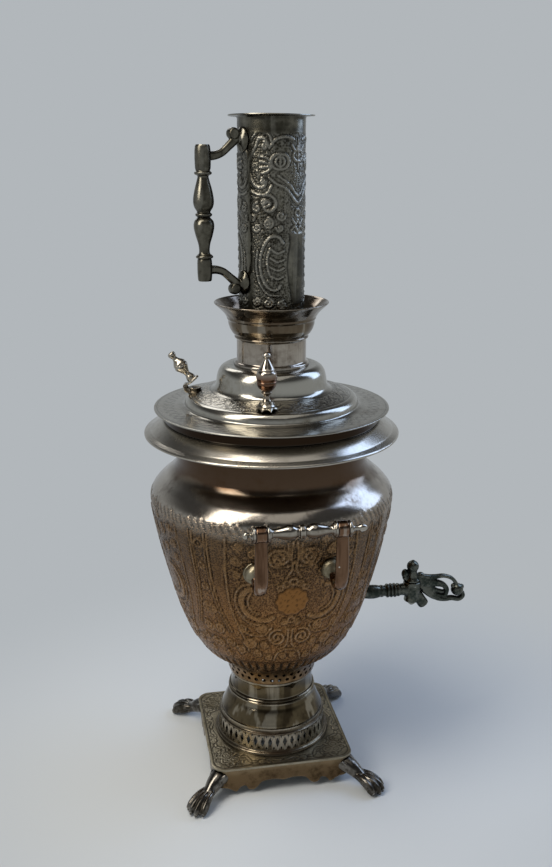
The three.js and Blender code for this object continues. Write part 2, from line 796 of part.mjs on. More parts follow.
// The outline of a ribbon of even width along a line of points.
function ribbon(line, halfWidth) {
  const edge = (side) => line.map(([x, y], i) => {
    const before = line[Math.max(i - 1, 0)];
    const after = line[Math.min(i + 1, line.length - 1)];
    const run = new THREE.Vector2(after[0] - before[0], after[1] - before[1]).normalize();
    return [x + side * halfWidth * run.y, y - side * halfWidth * run.x];
  });
  return [...edge(1), ...edge(-1).reverse()];
}

// The ornament is the part of each cut shape between the middle of the wall and a skin over it.
function bodyOrnament() {
  const layer = (out) => solidOf(filled(bodyOutline.map(([radius, level]) => [radius + out, level]), wideSides));
  const medallionLevel = bodyBottom + medallionAboveBottom;
  const medallionReach = radiusAt(bodyOutline, medallionLevel);
  const scrollTurn = scrollAcross / medallionReach / (2 * Math.PI / panelCount);
  const scroll = ribbon(scrollShares.map(([across, up]) => [across * scrollHeight, up * scrollHeight]), scrollHalfWidth);
  const mirrored = scroll.map(([across, up]) => [-across, up]).reverse();
  const placed = (points, turn) => (
    ringOfCutters(points, panelCount, turn, medallionReach, medallionLevel, ornamentReach)
  );
  const fringeLevel = bellyLevel + fringeAboveBelly;
  const leaf = fringeShares.map(([across, up]) => [across * fringeWidth, up * fringeHeight]);
  const fringe = ringOfCutters(leaf, fringeCount, 0.5, radiusAt(bodyOutline, fringeLevel), fringeLevel, ornamentReach);
  const shapes = joined([
    placed(polygon(medallionRadius, medallionSides), 0),
    placed(scroll, scrollTurn),
    placed(mirrored, -scrollTurn),
    fringe,
  ]);
  return shapes.intersect(layer(ornamentRise)).subtract(layer(-bodyWall / 2));
}

function bodyShell() {
  const floorTop = bodyBottom + bodyWall;
  const inside = bodyLining.filter((point) => point[1] > floorTop);
  const profile = [
    [floorHoleRadius, bodyBottom],
    ...bodyOutline,
    ...[...inside].reverse(),
    [bodyBottomRadius, floorTop],
    [floorHoleRadius, floorTop],
    [floorHoleRadius, bodyBottom],
  ];
  const holes = handlePlaces.map(([, across, side]) => {
    const reach = wallReach(across, bossLevel);
    const start = new THREE.Vector3(across, side * (reach - studLength), bossLevel);
    const end = new THREE.Vector3(across, side * (reach + studLength), bossLevel);
    return rod(start, end, studRadius + seatGap, studRadius + seatGap, tinySides);
  });
  const tapReachAtWall = radiusAt(bodyOutline, tapLevel);
  const tapStart = new THREE.Vector3(tapReachAtWall - studLength, 0, tapLevel);
  const tapEnd = new THREE.Vector3(tapReachAtWall + studLength, 0, tapLevel);
  holes.push(rod(tapStart, tapEnd, tapPipeRadius + seatGap));
  return geometryOf(cut(solidOf(turned(profile, wideSides)).add(bodyOrnament()), holes));
}

function brim() {
  const slopeLevel = brimLedge - brimSlopeDrop;
  const lipLevel = slopeLevel - brimLipDrop;
  const spigotRadius = neckRadius - bodyWall - seatGap;
  return turned([
    [spigotRadius - bodyWall, brimUnder - brimSpigotDepth],
    [spigotRadius, brimUnder - brimSpigotDepth],
    [spigotRadius, brimUnder],
    [brimLedgeRadius - brimThickness / 2, brimUnder],
    [brimSlopeRadius - brimThickness / 2, slopeLevel - brimThickness],
    [brimRadius, lipLevel - brimThickness],
    [brimRadius, lipLevel],
    [brimSlopeRadius, slopeLevel],
    [brimLedgeRadius, brimLedge],
    [spigotRadius - bodyWall, brimLedge],
    [spigotRadius - bodyWall, brimUnder - brimSpigotDepth],
  ], wideSides);
}

// The fire tube stands on the body's floor, narrows in a cone and passes up through the lid.
// A bead near its top stops the chimney.
function fireTube() {
  const coneTop = tubeBottom + tubeConeHeight;
  const wall = tubeWall;
  const stopTop = tubeStop + tubeStopHeight;
  return turned([
    [tubeLipRadius, tubeBottom],
    [tubeFlangeRadius, tubeBottom],
    [tubeFlangeRadius, tubeBottom + wall],
    [tubeFootRadius, tubeBottom + wall * 2],
    [tubeRadius, coneTop],
    [tubeRadius, tubeStop],
    [tubeStopRadius, tubeStop],
    [tubeStopRadius, stopTop],
    [tubeRadius, stopTop],
    [tubeRadius, tubeTop],
    [tubeRadius - wall, tubeTop],
    [tubeRadius - wall, coneTop],
    [tubeFootRadius - wall, tubeBottom + wall * 2],
    [tubeLipRadius, tubeBottom + wall],
    [tubeLipRadius, tubeBottom],
  ], pipeSides);
}

function fireGrate() {
  const radius = tubeFootRadius - tubeWall * 2;
  const shape = new THREE.Shape().absarc(0, 0, radius, 0, Math.PI * 2);
  const pitch = grateBarWidth + grateSlotWidth;
  const reach = radius - grateRim;
  const rows = Math.floor((reach - grateSlotWidth / 2) / pitch);
  for (let row = -rows; row <= rows; row += 1) {
    const middle = row * pitch;
    const edge = Math.abs(middle) + grateSlotWidth / 2;
    const half = Math.sqrt(reach ** 2 - edge ** 2);
    const hole = new THREE.Path();
    hole.moveTo(-half, middle - grateSlotWidth / 2);
    hole.lineTo(-half, middle + grateSlotWidth / 2);
    hole.lineTo(half, middle + grateSlotWidth / 2);
    hole.lineTo(half, middle - grateSlotWidth / 2);
    hole.closePath();
    shape.holes.push(hole);
  }
  const options = { depth: grateThickness, bevelEnabled: false, curveSegments: pipeSides / 2 };
  const geometry = new THREE.ExtrudeGeometry(shape, options);
  return geometry.translate(0, 0, tubeBottom + tubeWall * 2 + seatGap);
}

addPart('body_shell', bodyShell(), chased);
addPart('brim', brim(), polished);
addPart('fire_tube', fireTube(), sooty);
addPart('fire_grate', fireGrate(), sooty);

// Lid

const lidOutline = [
  [lidRadius, lidFlangeUnder],
  [lidRadius, lidFlangeTop],
  [lidRollRadius, lidFlangeTop],
  [lidRollRadius, lidFlangeTop + lidRollHeight * 0.5],
  [lidBandRadius, lidRollTop],
  [lidDomeRadius, lidBandTop],
  [THREE.MathUtils.lerp(lidDomeRadius, lidCrownRadius, 0.3), lidBandTop + lidDomeHeight * 0.62],
  [lidCrownRadius, lidTop],
  [lidHoleRadius, lidTop],
];
const lidUnderLine = insideOf(lidOutline.slice(2), lidSheet);
const lidSurface = lidOutline.slice(4, 6);

function lidLevel(radius) {
  const [[outer, low], [inner, high]] = lidSurface;
  return THREE.MathUtils.mapLinear(radius, outer, inner, low, high);
}

function around(radius, angle) {
  return new THREE.Vector3(radius * Math.cos(angle), radius * Math.sin(angle), 0);
}

const knobAngles = { front: lidTurn, back: lidTurn + Math.PI };

function lid() {
  const skirtBore = lidSkirtRadius - lidSheet;
  const spigotBottom = lidFlangeUnder - lidSpigotDepth;
  const profile = [
    [lidSpigotRadius - lidSheet, spigotBottom],
    [lidSpigotRadius, spigotBottom],
    [lidSpigotRadius, lidFlangeUnder],
    [skirtBore, lidFlangeUnder],
    [skirtBore, lidBottom],
    [lidSkirtRadius, lidBottom],
    [lidSkirtRadius, lidFlangeUnder],
    ...lidOutline,
    ...lidUnderLine.slice(2).reverse(),
    [lidRollRadius - lidSheet, lidFlangeUnder],
    [lidSpigotRadius - lidSheet, lidFlangeUnder],
    [lidSpigotRadius - lidSheet, spigotBottom],
  ];
  const hole = (circle, angle, radius) => {
    const at = around(circle, angle);
    const level = lidLevel(circle);
    return rod(at.clone().setZ(level - lidSheet * 4), at.clone().setZ(level + lidSheet * 4), radius);
  };
  const studBore = knobStudRadius + seatGap;
  const holes = Object.values(knobAngles).map((angle) => hole(lidKnobCircle, angle, studBore));
  holes.push(hole(ventCircle, ventAngle, ventHoleRadius));
  return geometryOf(cut(solidOf(turned(profile, wideSides).rotateZ(lidFacetTurn)), holes));
}

const lidSpace = filled(lidOutline.slice(2).map(([radius, level]) => [radius, level + seatGap]), wideSides);
lidSpace.rotateZ(lidFacetTurn);

function knobRosette(angle) {
  const at = around(lidKnobCircle, angle);
  const level = lidLevel(lidKnobCircle);
  const disc = rosette(rosetteRadius, rosetteHeight * 2, rosettePetals, level - rosetteHeight);
  disc.translate(at.x, at.y, 0);
  const bore = rod(
    at.clone().setZ(level - rosetteHeight * 2),
    at.clone().setZ(level + rosetteHeight * 2),
    knobStudRadius + seatGap * 2,
  );
  return geometryOf(cut(solidOf(disc), [lidSpace, bore]));
}

function lidKnob(angle) {
  const at = around(lidKnobCircle, angle);
  const start = lidLevel(lidKnobCircle) + rosetteHeight + seatGap;
  const stud = rosetteHeight * 2 + lidSheet + knobNutHeight * 2;
  const turnedKnob = turnedSolid(knobShares, knobRadius, knobHeight, start);
  const studEnd = new THREE.Vector3(0, 0, start - stud);
  const whole = joined([turnedKnob, rod(studEnd, new THREE.Vector3(0, 0, start + overrun), knobStudRadius)]);
  return geometryOf(whole).translate(at.x, at.y, 0);
}

function knobNut(angle) {
  const at = around(lidKnobCircle, angle);
  const slope = (lidLevel(lidDomeRadius) - lidLevel(lidBandRadius)) / (lidBandRadius - lidDomeRadius);
  const under = lidLevel(lidKnobCircle) - lidSheet - slope * knobNutRadius - seatGap * 2;
  const nut = prism(polygon(knobNutRadius, nutSides), knobNutHeight);
  nut.translate(at.x, at.y, under - knobNutHeight);
  const bore = rod(
    at.clone().setZ(under - knobNutHeight * 2),
    at.clone().setZ(under + knobNutHeight),
    knobStudRadius + seatGap,
  );
  return geometryOf(cut(solidOf(nut), [bore]));
}

addPart('lid', lid(), polished);
for (const [place, angle] of Object.entries(knobAngles)) {
  addPart(`lid_knob_${place}`, lidKnob(angle), polished);
  addPart(`knob_rosette_${place}`, knobRosette(angle), chased);
  addPart(`knob_nut_${place}`, knobNut(angle), aged);
}

// Steam vent: a bored seat with two ears, a pin and a scalloped cap that stands open on its hinge

const ventLevel = lidLevel(ventCircle);
const ventSeatTop = ventLevel + ventSeatHeight;
const ventHingeLevel = ventSeatTop + ventCapThickness / 2 + seatGap;
const ventHinge = new THREE.Vector3(ventCapRadius + seatGap, 0, ventHingeLevel);
const ventPinHalf = ventKnuckleLength / 2 + seatGap + ventEarThickness;
const ventSeatRadius = ventHinge.x - ventKnuckleRadius - seatGap; // clear of the cap's knuckle

function placedVent(geometry) {
  const at = around(ventCircle, ventAngle);
  return geometry.rotateZ(ventAngle).translate(at.x, at.y, 0);
}

function ventSeat() {
  const blockStart = new THREE.Vector3(0, 0, ventLevel - ventSeatHeight);
  const blockEnd = new THREE.Vector3(0, 0, ventSeatTop);
  const pieces = [rod(blockStart, blockEnd, ventSeatRadius)];
  for (const side of [-1, 1]) {
    const middle = side * (ventKnuckleLength / 2 + seatGap + ventEarThickness / 2);
    const start = new THREE.Vector3(ventHinge.x, middle - ventEarThickness / 2, ventHinge.z);
    const end = new THREE.Vector3(ventHinge.x, middle + ventEarThickness / 2, ventHinge.z);
    pieces.push(rod(start, end, ventKnuckleRadius));
    const foot = new THREE.BoxGeometry(ventKnuckleRadius * 2, ventEarThickness, ventSeatHeight * 2);
    foot.translate(ventHinge.x, middle, ventHinge.z - ventSeatHeight);
    const web = new THREE.BoxGeometry(ventKnuckleRadius * 3, ventEarThickness, ventSeatHeight);
    web.translate(ventHinge.x - ventKnuckleRadius * 1.5, middle, ventSeatTop - ventSeatHeight / 2 - seatGap);
    pieces.push(foot, web);
  }
  const pinHole = rod(
    new THREE.Vector3(ventHinge.x, -ventPinHalf - overrun, ventHinge.z),
    new THREE.Vector3(ventHinge.x, ventPinHalf + overrun, ventHinge.z),
    ventPinRadius + seatGap,
    ventPinRadius + seatGap,
    tinySides,
  );
  const steamHole = rod(
    new THREE.Vector3(0, 0, ventLevel - ventSeatHeight * 2),
    new THREE.Vector3(0, 0, ventSeatTop + overrun),
    ventHoleRadius,
  );
  const space = lidSpace.clone();
  const at = around(ventCircle, ventAngle);
  space.translate(-at.x, -at.y, 0).rotateZ(-ventAngle);
  return placedVent(geometryOf(cut(joined(pieces), [pinHole, steamHole, space])));
}

function ventPin() {
  return placedVent(rod(
    new THREE.Vector3(ventHinge.x, -ventPinHalf, ventHinge.z),
    new THREE.Vector3(ventHinge.x, ventPinHalf, ventHinge.z),
    ventPinRadius,
    ventPinRadius,
    tinySides,
  ));
}

function ventCap() {
  const under = ventSeatTop + seatGap;
  const disc = rosette(ventSeatRadius, ventCapThickness, ventPetals, under);
  const finial = turnedSolid(ventFinialShares, ventFinialRadius, ventFinialHeight, under + ventCapThickness / 2);
  const half = ventKnuckleLength / 2;
  const knuckle = rod(
    new THREE.Vector3(ventHinge.x, -half, ventHinge.z),
    new THREE.Vector3(ventHinge.x, half, ventHinge.z),
    ventKnuckleRadius,
  );
  const tongue = new THREE.BoxGeometry(ventCapRadius, ventKnuckleLength, ventCapThickness);
  tongue.translate(ventHinge.x - ventCapRadius / 2, 0, ventHinge.z);
  const bore = rod(
    new THREE.Vector3(ventHinge.x, -half - overrun, ventHinge.z),
    new THREE.Vector3(ventHinge.x, half + overrun, ventHinge.z),
    ventPinRadius + seatGap,
    ventPinRadius + seatGap,
    tinySides,
  );
  const cap = geometryOf(cut(joined([disc, finial, knuckle, tongue]), [bore]));
  cap.translate(-ventHinge.x, 0, -ventHinge.z).rotateY(ventLean).translate(ventHinge.x, 0, ventHinge.z);
  return placedVent(cap);
}

addPart('vent_seat', ventSeat(), chased);
addPart('vent_hinge_pin', ventPin(), aged);
addPart('vent_cap', ventCap(), chased);

// Teapot crown: a flared cup on a short neck, which sits on the lid round the fire tube

function crown() {
  const footTop = crownBottom + crownFootHeight;
  const bowl = crownBowlShares.map(([out, up]) => [
    THREE.MathUtils.lerp(crownNeckRadius, crownCupRadius, out),
    crownNeckTop + up * crownCupHeight,
  ]);
  const flare = crownFlareShares.map(([out, up]) => [
    THREE.MathUtils.lerp(crownCupRadius, crownRimRadius, out),
    crownNeckTop + up * crownCupHeight,
  ]);
  const cup = [...bowl, ...flare];
  const bore = crownNeckRadius - crownSheet;
  const profile = [
    [bore, crownBottom],
    [crownFootRadius, crownBottom],
    [crownFootRadius, footTop - crownSheet / 2],
    [crownNeckRadius, footTop],
    [crownNeckRadius, crownNeckTop],
    ...cup,
    ...liningOf(cup, crownSheet).filter((point, i) => i % 2 === 1).reverse(),
    [bore, crownNeckTop + crownSheet],
    [bore, crownBottom],
  ];
  return turned(profile, pipeSides);
}

addPart('teapot_crown', crown(), polished);

// Chimney, slipped over the top of the fire tube, with its handle

function chimneyPipe() {
  const flangeUnder = chimneyTop - chimneyFlangeThickness;
  return turned([
    [chimneyRadius - chimneyWall, chimneyBottom],
    [chimneyRadius, chimneyBottom],
    [chimneyTopRadius, flangeUnder - chimneyWall * 2],
    [chimneyTopRadius + chimneyWall, flangeUnder],
    [chimneyFlangeRadius, flangeUnder],
    [chimneyFlangeRadius, chimneyTop],
    [chimneyTopRadius - chimneyWall, chimneyTop],
    [chimneyRadius - chimneyWall, chimneyBottom],
  ], pipeSides);
}

const gripTop = chimneyTop - gripBelowTop;
const gripBottom = gripTop - gripLength;

function chimneyGrip() {
  const geometry = turnedSolid(gripShares, gripRadius, gripLength, gripBottom);
  const at = around(gripReach, handleAngle);
  return geometry.translate(at.x, at.y, 0);
}

// An arm leaves the grip's sleeve, curves away from it to an oval boss on the pipe and ends in a scroll.
function chimneyArm(sign) {
  const sleeve = gripShares[1][0] * gripRadius;
  const start = sign > 0 ? gripTop - armEndInset : gripBottom + armEndInset;
  const end = start + sign * armRise;
  const span = gripReach - chimneyRadius;
  const stations = [
    [gripReach - sleeve / 2, start, armHalfWidth, armThickness],
    [gripReach - span * 0.3, start + sign * armRise * 0.02, armHalfWidth, armThickness],
    [gripReach - span * 0.52, start + sign * armRise * 0.3, armHalfWidth * 0.9, armThickness * 0.9],
    [gripReach - span * 0.72, start + sign * armRise * 0.95, armHalfWidth, armThickness],
    [chimneyRadius - armThickness, end, armHalfWidth, armThickness],
  ];
  const arm = swept(stations, handleAngle, 6);
  const out = around(1, handleAngle);
  const side = around(1, handleAngle + Math.PI / 2);
  const scrollLevel = end + sign * scrollRadius * 0.5;
  const scrollAt = out.clone().multiplyScalar(chimneyRadius + span * 0.24).setZ(scrollLevel);
  const scroll = rod(
    scrollAt.clone().addScaledVector(side, -armHalfWidth),
    scrollAt.clone().addScaledVector(side, armHalfWidth),
    scrollRadius,
  );
  const bossAt = out.clone().multiplyScalar(chimneyTopRadius).setZ(end);
  const boss = ball(new THREE.Vector3(), 1, [bossDepth, bossHalfWidth, bossHalfHeight], smallSides);
  boss.rotateZ(handleAngle).translate(bossAt.x, bossAt.y, bossAt.z);
  const pipeSpace = rod(
    new THREE.Vector3(0, 0, chimneyBottom),
    new THREE.Vector3(0, 0, chimneyTop),
    chimneyTopRadius + seatGap,
    chimneyTopRadius + seatGap,
    pipeSides,
  );
  const gripAt = around(gripReach, handleAngle);
  const gripSpace = rod(
    gripAt.clone().setZ(gripBottom - overrun),
    gripAt.clone().setZ(gripTop + overrun),
    sleeve + seatGap,
  );
  return geometryOf(cut(joined([arm, scroll, boss]), [pipeSpace, gripSpace]));
}

addPart('chimney_pipe', chimneyPipe(), smoked);
addPart('chimney_grip', chimneyGrip(), smoked);
addPart('chimney_arm_upper', chimneyArm(1), smoked);
addPart('chimney_arm_lower', chimneyArm(-1), smoked);

// Carrying handles: two hooked straps hold a turned bar; each strap's stud passes the wall to a nut inside

function handleBracket(across, side) {
  const angle = (side * Math.PI) / 2;
  const reach = wallReach(across, bossLevel);
  const rise = barLevel - bossLevel;
  const span = barReach - reach;
  const bossReach = reach + bracketBossHeight;
  const strap = swept([
    [reach + strapHalfThickness, bossLevel, strapHalfWidth, strapHalfThickness],
    [reach + span * 0.36, bossLevel - strapDip, strapHalfWidth, strapHalfThickness],
    [reach + span * 0.68, bossLevel - strapDip * 0.7, strapHalfWidth, strapHalfThickness],
    [barReach - strapHalfThickness, bossLevel + rise * 0.16, strapHalfWidth, strapHalfThickness],
    [barReach + strapHalfThickness, bossLevel + rise * 0.5, strapHalfWidth, strapHalfThickness],
    [barReach, barLevel, strapHalfWidth, strapHalfThickness],
  ], angle, 7, 4);
  strap.translate(across, 0, 0);
  const atY = (distance) => new THREE.Vector3(across, side * distance, bossLevel);
  const bossStart = atY(reach - bracketBossHeight);
  const boss = rod(bossStart, atY(bossReach), bracketBossRadius, bracketBossRadius * 0.6);
  const studStart = atY(reach - studLength + bracketBossHeight);
  const stud = rod(studStart, atY(reach), studRadius, studRadius, tinySides);
  const barAt = (x) => new THREE.Vector3(x, side * barReach, barLevel);
  const head = rod(barAt(across - strapHalfWidth), barAt(across + strapHalfWidth), bracketHeadRadius);
  const bore = rod(
    barAt(across - strapHalfWidth - overrun),
    barAt(across + strapHalfWidth + overrun),
    barRodRadius + seatGap,
    barRodRadius + seatGap,
    tinySides,
  );
  const outer = cut(joined([strap, boss, head]), [outsideSpace, bore]);
  return geometryOf(outer.add(solidOf(stud)));
}

function bracketNut(across, side) {
  const reach = wallReach(across, bossLevel) - bodyWall;
  const atY = (distance) => new THREE.Vector3(across, side * distance, bossLevel);
  const nut = rod(atY(reach - nutHeight), atY(reach + nutHeight), nutRadius, nutRadius, nutSides);
  const bore = rod(
    atY(reach - nutHeight - overrun),
    atY(reach + nutHeight + overrun),
    studRadius + seatGap,
    studRadius + seatGap,
    tinySides,
  );
  const fitted = solidOf(nut).intersect(solidOf(insideSpace));
  return geometryOf(cut(fitted, [bore]));
}

function alongX(geometry, x, side) {
  return geometry.rotateY(Math.PI / 2).translate(x, side * barReach, barLevel);
}

// The bar's thin rod runs through both heads to the end finials.
function handleBar(side) {
  const half = handleSpread - strapHalfWidth - seatGap;
  const grip = alongX(turnedSolid(barShares, barRadius, half * 2, -half), 0, side);
  const end = new THREE.Vector3(handleSpread + strapHalfWidth, side * barReach, barLevel);
  const start = end.clone().setX(-end.x);
  return geometryOf(joined([grip, rod(start, end, barRodRadius, barRodRadius, tinySides)]));
}

function barFinial(across, side) {
  const start = strapHalfWidth + seatGap;
  const geometry = turnedSolid(barFinialShares, barFinialRadius, barFinialLength, start);
  if (across < 0) {
    geometry.rotateY(Math.PI);
  }
  return alongX(geometry, across, side);
}

for (const [place, across, side] of handlePlaces) {
  addPart(`handle_bracket_${place}`, handleBracket(across, side), aged);
  addPart(`bracket_nut_${place}`, bracketNut(across, side), aged);
  addPart(`handle_finial_${place}`, barFinial(across, side), polished);
}
addPart('handle_bar_front', handleBar(front), polished);
addPart('handle_bar_back', handleBar(back), polished);

// Tap: a bored pipe and barrel with a down-turned spout, and a tapered plug with an openwork key

const tapWall = radiusAt(bodyOutline, tapLevel);
const tapPoint = (x, up = 0) => new THREE.Vector3(x, 0, tapLevel + up);

function tapFlange() {
  const disc = rod(
    tapPoint(tapWall - tapFlangeRadius),
    tapPoint(tapWall + tapFlangeThickness + bodyWall),
    tapFlangeRadius,
    tapFlangeRadius * 0.7,
    middleSides / 2,
  );
  const bore = rod(
    tapPoint(tapWall - tapFlangeRadius * 2),
    tapPoint(tapWall + tapFlangeRadius),
    tapPipeRadius + seatGap,
  );
  return geometryOf(cut(solidOf(disc), [outsideSpace, bore]));
}

function tapNut() {
  const inner = tapWall - bodyWall;
  const nut = rod(
    tapPoint(inner - tapNutHeight - bodyWall),
    tapPoint(inner + tapNutHeight),
    tapNutRadius,
    tapNutRadius,
    nutSides,
  );
  const bore = rod(
    tapPoint(inner - tapNutHeight * 2 - bodyWall),
    tapPoint(inner + tapNutHeight * 2),
    tapPipeRadius + seatGap,
  );
  const fitted = solidOf(nut).intersect(solidOf(insideSpace));
  return geometryOf(cut(fitted, [bore]));
}

function tapBody() {
  const pipe = rod(tapPoint(tapWall - tapInsideLength), tapPoint(tapBarrelReach), tapPipeRadius);
  const barrel = rod(
    tapPoint(tapBarrelReach, -tapBarrelBottom),
    tapPoint(tapBarrelReach, tapBarrelTop),
    tapBarrelRadius * 0.86,
    tapBarrelRadius,
  );
  const collars = [];
  for (let i = 0; i < tapCollarCount; i += 1) {
    const start = tapCollarStart + i * tapCollarPitch;
    collars.push(rod(tapPoint(start), tapPoint(start + tapCollarWidth), tapCollarRadius));
  }
  const spoutStart = tapPoint(tapBarrelReach);
  const spoutEnd = tapPoint(tapBarrelReach + spoutThrow, -spoutDrop);
  const spout = rod(spoutStart, spoutEnd, spoutRadius, spoutEndRadius);
  const pastEnd = spoutEnd.clone().sub(spoutStart).setLength(overrun).add(spoutEnd);
  const intake = tapPoint(tapWall - tapInsideLength - overrun);
  const bores = [
    rod(intake, tapPoint(tapBarrelReach), tapBoreRadius, tapBoreRadius, tinySides),
    rod(spoutStart, pastEnd, tapBoreRadius, tapBoreRadius, tinySides),
    rod(
      tapPoint(tapBarrelReach, -tapBarrelBottom - overrun),
      tapPoint(tapBarrelReach, tapBarrelTop + overrun),
      plugBottomRadius + seatGap,
      plugTopRadius + seatGap * 2,
    ),
  ];
  return geometryOf(cut(joined([pipe, barrel, spout, ...collars]), bores));
}

function keyBar(shares, halfHeight) {
  const stations = shares.map(([out, up]) => [
    tapBarrelReach + out * keyLength,
    tapLevel + up * keyLength,
    keyHalfWidth,
    halfHeight,
  ]);
  return swept(stations, 0, shares.length, 4);
}

function tapKey() {
  const top = tapBarrelTop + seatGap;
  const lobeLevel = top + seatGap + keyLobeRadius + keyLobeStagger;
  const knobLevel = tapBarrelTop + keyKnobRise;
  const plug = rod(
    tapPoint(tapBarrelReach, -tapBarrelBottom),
    tapPoint(tapBarrelReach, top + overrun),
    plugBottomRadius,
    plugTopRadius,
  );
  const onAxis = (up) => tapPoint(tapBarrelReach, up);
  const tail = rod(onAxis(-tapBarrelBottom - plugTailLength), onAxis(0), plugTailRadius);
  const collar = rod(onAxis(top), onAxis(lobeLevel), keyCollarRadius, plugTopRadius);
  const stem = rod(onAxis(top), onAxis(knobLevel), plugTopRadius, keyKnobRadius * 0.7);
  const knob = ball(onAxis(knobLevel), keyKnobRadius, [1, 1, 1], smallSides);
  const lobes = [-1, 1].map((side) => ball(
    tapPoint(tapBarrelReach + side * keyLobeReach, lobeLevel - side * keyLobeStagger),
    keyLobeRadius,
  ));
  const ballAt = tapPoint(tapBarrelReach + keyLength * 0.86, -keyLength * 0.09);
  const handle = [
    keyBar(keyUpperShares, keyBarHalfHeight),
    keyBar(keyLowerShares, keyBarHalfHeight),
    keyBar(keyLipShares, keyBarHalfHeight * 0.9),
    keyBar(keyLeafShares, keyBarHalfHeight),
    ball(ballAt, keyBallRadius),
  ];
  // the waterway bends in the plug, from the pipe down to the spout
  const bends = [tapPoint(tapBarrelReach - tapBarrelRadius), tapPoint(tapBarrelReach + spoutThrow, -spoutDrop)];
  const ports = bends.map((end) => rod(end, onAxis(0), plugPortRadius, plugPortRadius, tinySides));
  const core = cut(joined([plug, tail]), ports);
  return geometryOf(core.add(joined([collar, stem, knob, ...lobes, ...handle])));
}

function plugNut() {
  const top = -tapBarrelBottom - seatGap;
  const nut = rod(
    tapPoint(tapBarrelReach, top - plugNutHeight),
    tapPoint(tapBarrelReach, top),
    plugNutRadius,
    plugNutRadius,
    nutSides,
  );
  const bore = rod(
    tapPoint(tapBarrelReach, top - plugNutHeight - overrun),
    tapPoint(tapBarrelReach, top + overrun),
    plugTailRadius + seatGap,
  );
  return geometryOf(cut(solidOf(nut), [bore]));
}

addPart('tap_flange', tapFlange(), darkened);
addPart('tap_lock_nut', tapNut(), aged);
addPart('tap_body', tapBody(), darkened);
addPart('tap_key', tapKey(), darkened);
addPart('tap_key_nut', plugNut(), darkened);

export default samovar;
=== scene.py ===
import json
import math
import bmesh
import bpy
import numpy as np
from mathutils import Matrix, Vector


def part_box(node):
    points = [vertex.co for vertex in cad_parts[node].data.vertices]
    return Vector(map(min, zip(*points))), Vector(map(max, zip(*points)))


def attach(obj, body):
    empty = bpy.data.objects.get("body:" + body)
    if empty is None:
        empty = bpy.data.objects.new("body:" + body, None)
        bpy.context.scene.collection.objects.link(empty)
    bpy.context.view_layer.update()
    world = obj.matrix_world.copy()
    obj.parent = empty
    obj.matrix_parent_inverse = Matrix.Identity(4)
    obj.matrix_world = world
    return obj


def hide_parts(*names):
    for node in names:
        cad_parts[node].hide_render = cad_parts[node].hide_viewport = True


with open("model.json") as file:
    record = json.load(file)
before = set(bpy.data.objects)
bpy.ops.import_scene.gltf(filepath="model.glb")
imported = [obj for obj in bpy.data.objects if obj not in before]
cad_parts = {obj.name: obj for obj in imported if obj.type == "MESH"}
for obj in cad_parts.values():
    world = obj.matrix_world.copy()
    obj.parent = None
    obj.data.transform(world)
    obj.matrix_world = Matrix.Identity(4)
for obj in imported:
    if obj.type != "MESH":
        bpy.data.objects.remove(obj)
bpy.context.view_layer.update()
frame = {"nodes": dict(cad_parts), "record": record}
wallLow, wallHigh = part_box("body_shell")
axisX = (wallLow.x + wallHigh.x) * 500      # mm, where the urn's axis stands
fullTurn = 2 * math.pi


# Shapes are (points, faces) in mm about the urn's axis, closed, with faces outwards

def curveThrough(points, steps=8):
    p = np.array(points, float)
    spacing = np.sqrt(np.linalg.norm(np.diff(p, axis=0), axis=1)) + 1e-9
    t = np.concatenate([[0], np.cumsum(spacing)])
    slope = np.gradient(p, t, axis=0)
    parts = []
    for i in range(len(p) - 1):
        u = np.linspace(0, 1, steps, endpoint=False)[:, None]
        gap = t[i + 1] - t[i]
        parts.append((2 * u**3 - 3 * u**2 + 1) * p[i] + (u**3 - 2 * u**2 + u) * gap * slope[i]
                     + (3 * u**2 - 2 * u**3) * p[i + 1] + (u**3 - u**2) * gap * slope[i + 1])
    return np.concatenate(parts + [p[-1:]])


def softened(points, radius, steps=2, closed=False):
    p = np.array(points, float)
    result = []
    for i, here in enumerate(p):
        if not closed and i in (0, len(p) - 1):
            result.append(here)
            continue
        before, after = p[i - 1] - here, p[(i + 1) % len(p)] - here
        a = here + before * min(0.45, radius / (np.linalg.norm(before) + 1e-9))
        b = here + after * min(0.45, radius / (np.linalg.norm(after) + 1e-9))
        for s in np.linspace(0, 1, steps + 1):
            result.append((1 - s) ** 2 * a + 2 * s * (1 - s) * here + s * s * b)
    return np.array(result)


def offsetIn(line, wall):
    p = np.asarray(line, float)
    run = np.gradient(p, axis=0)
    run /= np.linalg.norm(run, axis=1)[:, None] + 1e-9
    return p + np.stack([-run[:, 1], run[:, 0]], 1) * wall


def wallOf(outside, wall):
    return np.concatenate([outside, offsetIn(outside, wall)[::-1]])


def gridFaces(rows, columns, closedRows):
    i = np.arange(rows if closedRows else rows - 1)[:, None]
    j = np.arange(columns)[None]
    k, m = (i + 1) % rows, (j + 1) % columns
    return np.stack([i * columns + j, i * columns + m, k * columns + m, k * columns + j], 2).reshape(-1, 4)


def around(reach, level, angle):
    # rows of points round the axis
    return np.stack(np.broadcast_arrays(reach * np.cos(angle), reach * np.sin(angle), level), 2)


def lathe(profile, sides=96, closed=True):
    p = np.asarray(profile, float)
    points = around(p[:, :1], p[:, 1:], np.arange(sides) * fullTurn / sides)
    return points.reshape(-1, 3), gridFaces(len(p), sides, closed).tolist()


def turned(profile, at, towards, sides=32, ripple=None):
    points, faces = lathe(profile, sides, False)
    if ripple is not None:
        points = ripple(points)
    z = np.array(towards, float) / np.linalg.norm(towards)
    x = np.cross([0, 0, 1] if abs(z[2]) < 0.9 else [0, 1, 0], z)
    x /= np.linalg.norm(x)
    return points @ np.stack([x, np.cross(z, x), z]) + at, faces


def scaledCurve(shares, radius, height):
    return curveThrough([(r * radius, h * height) for r, h in shares], 4)


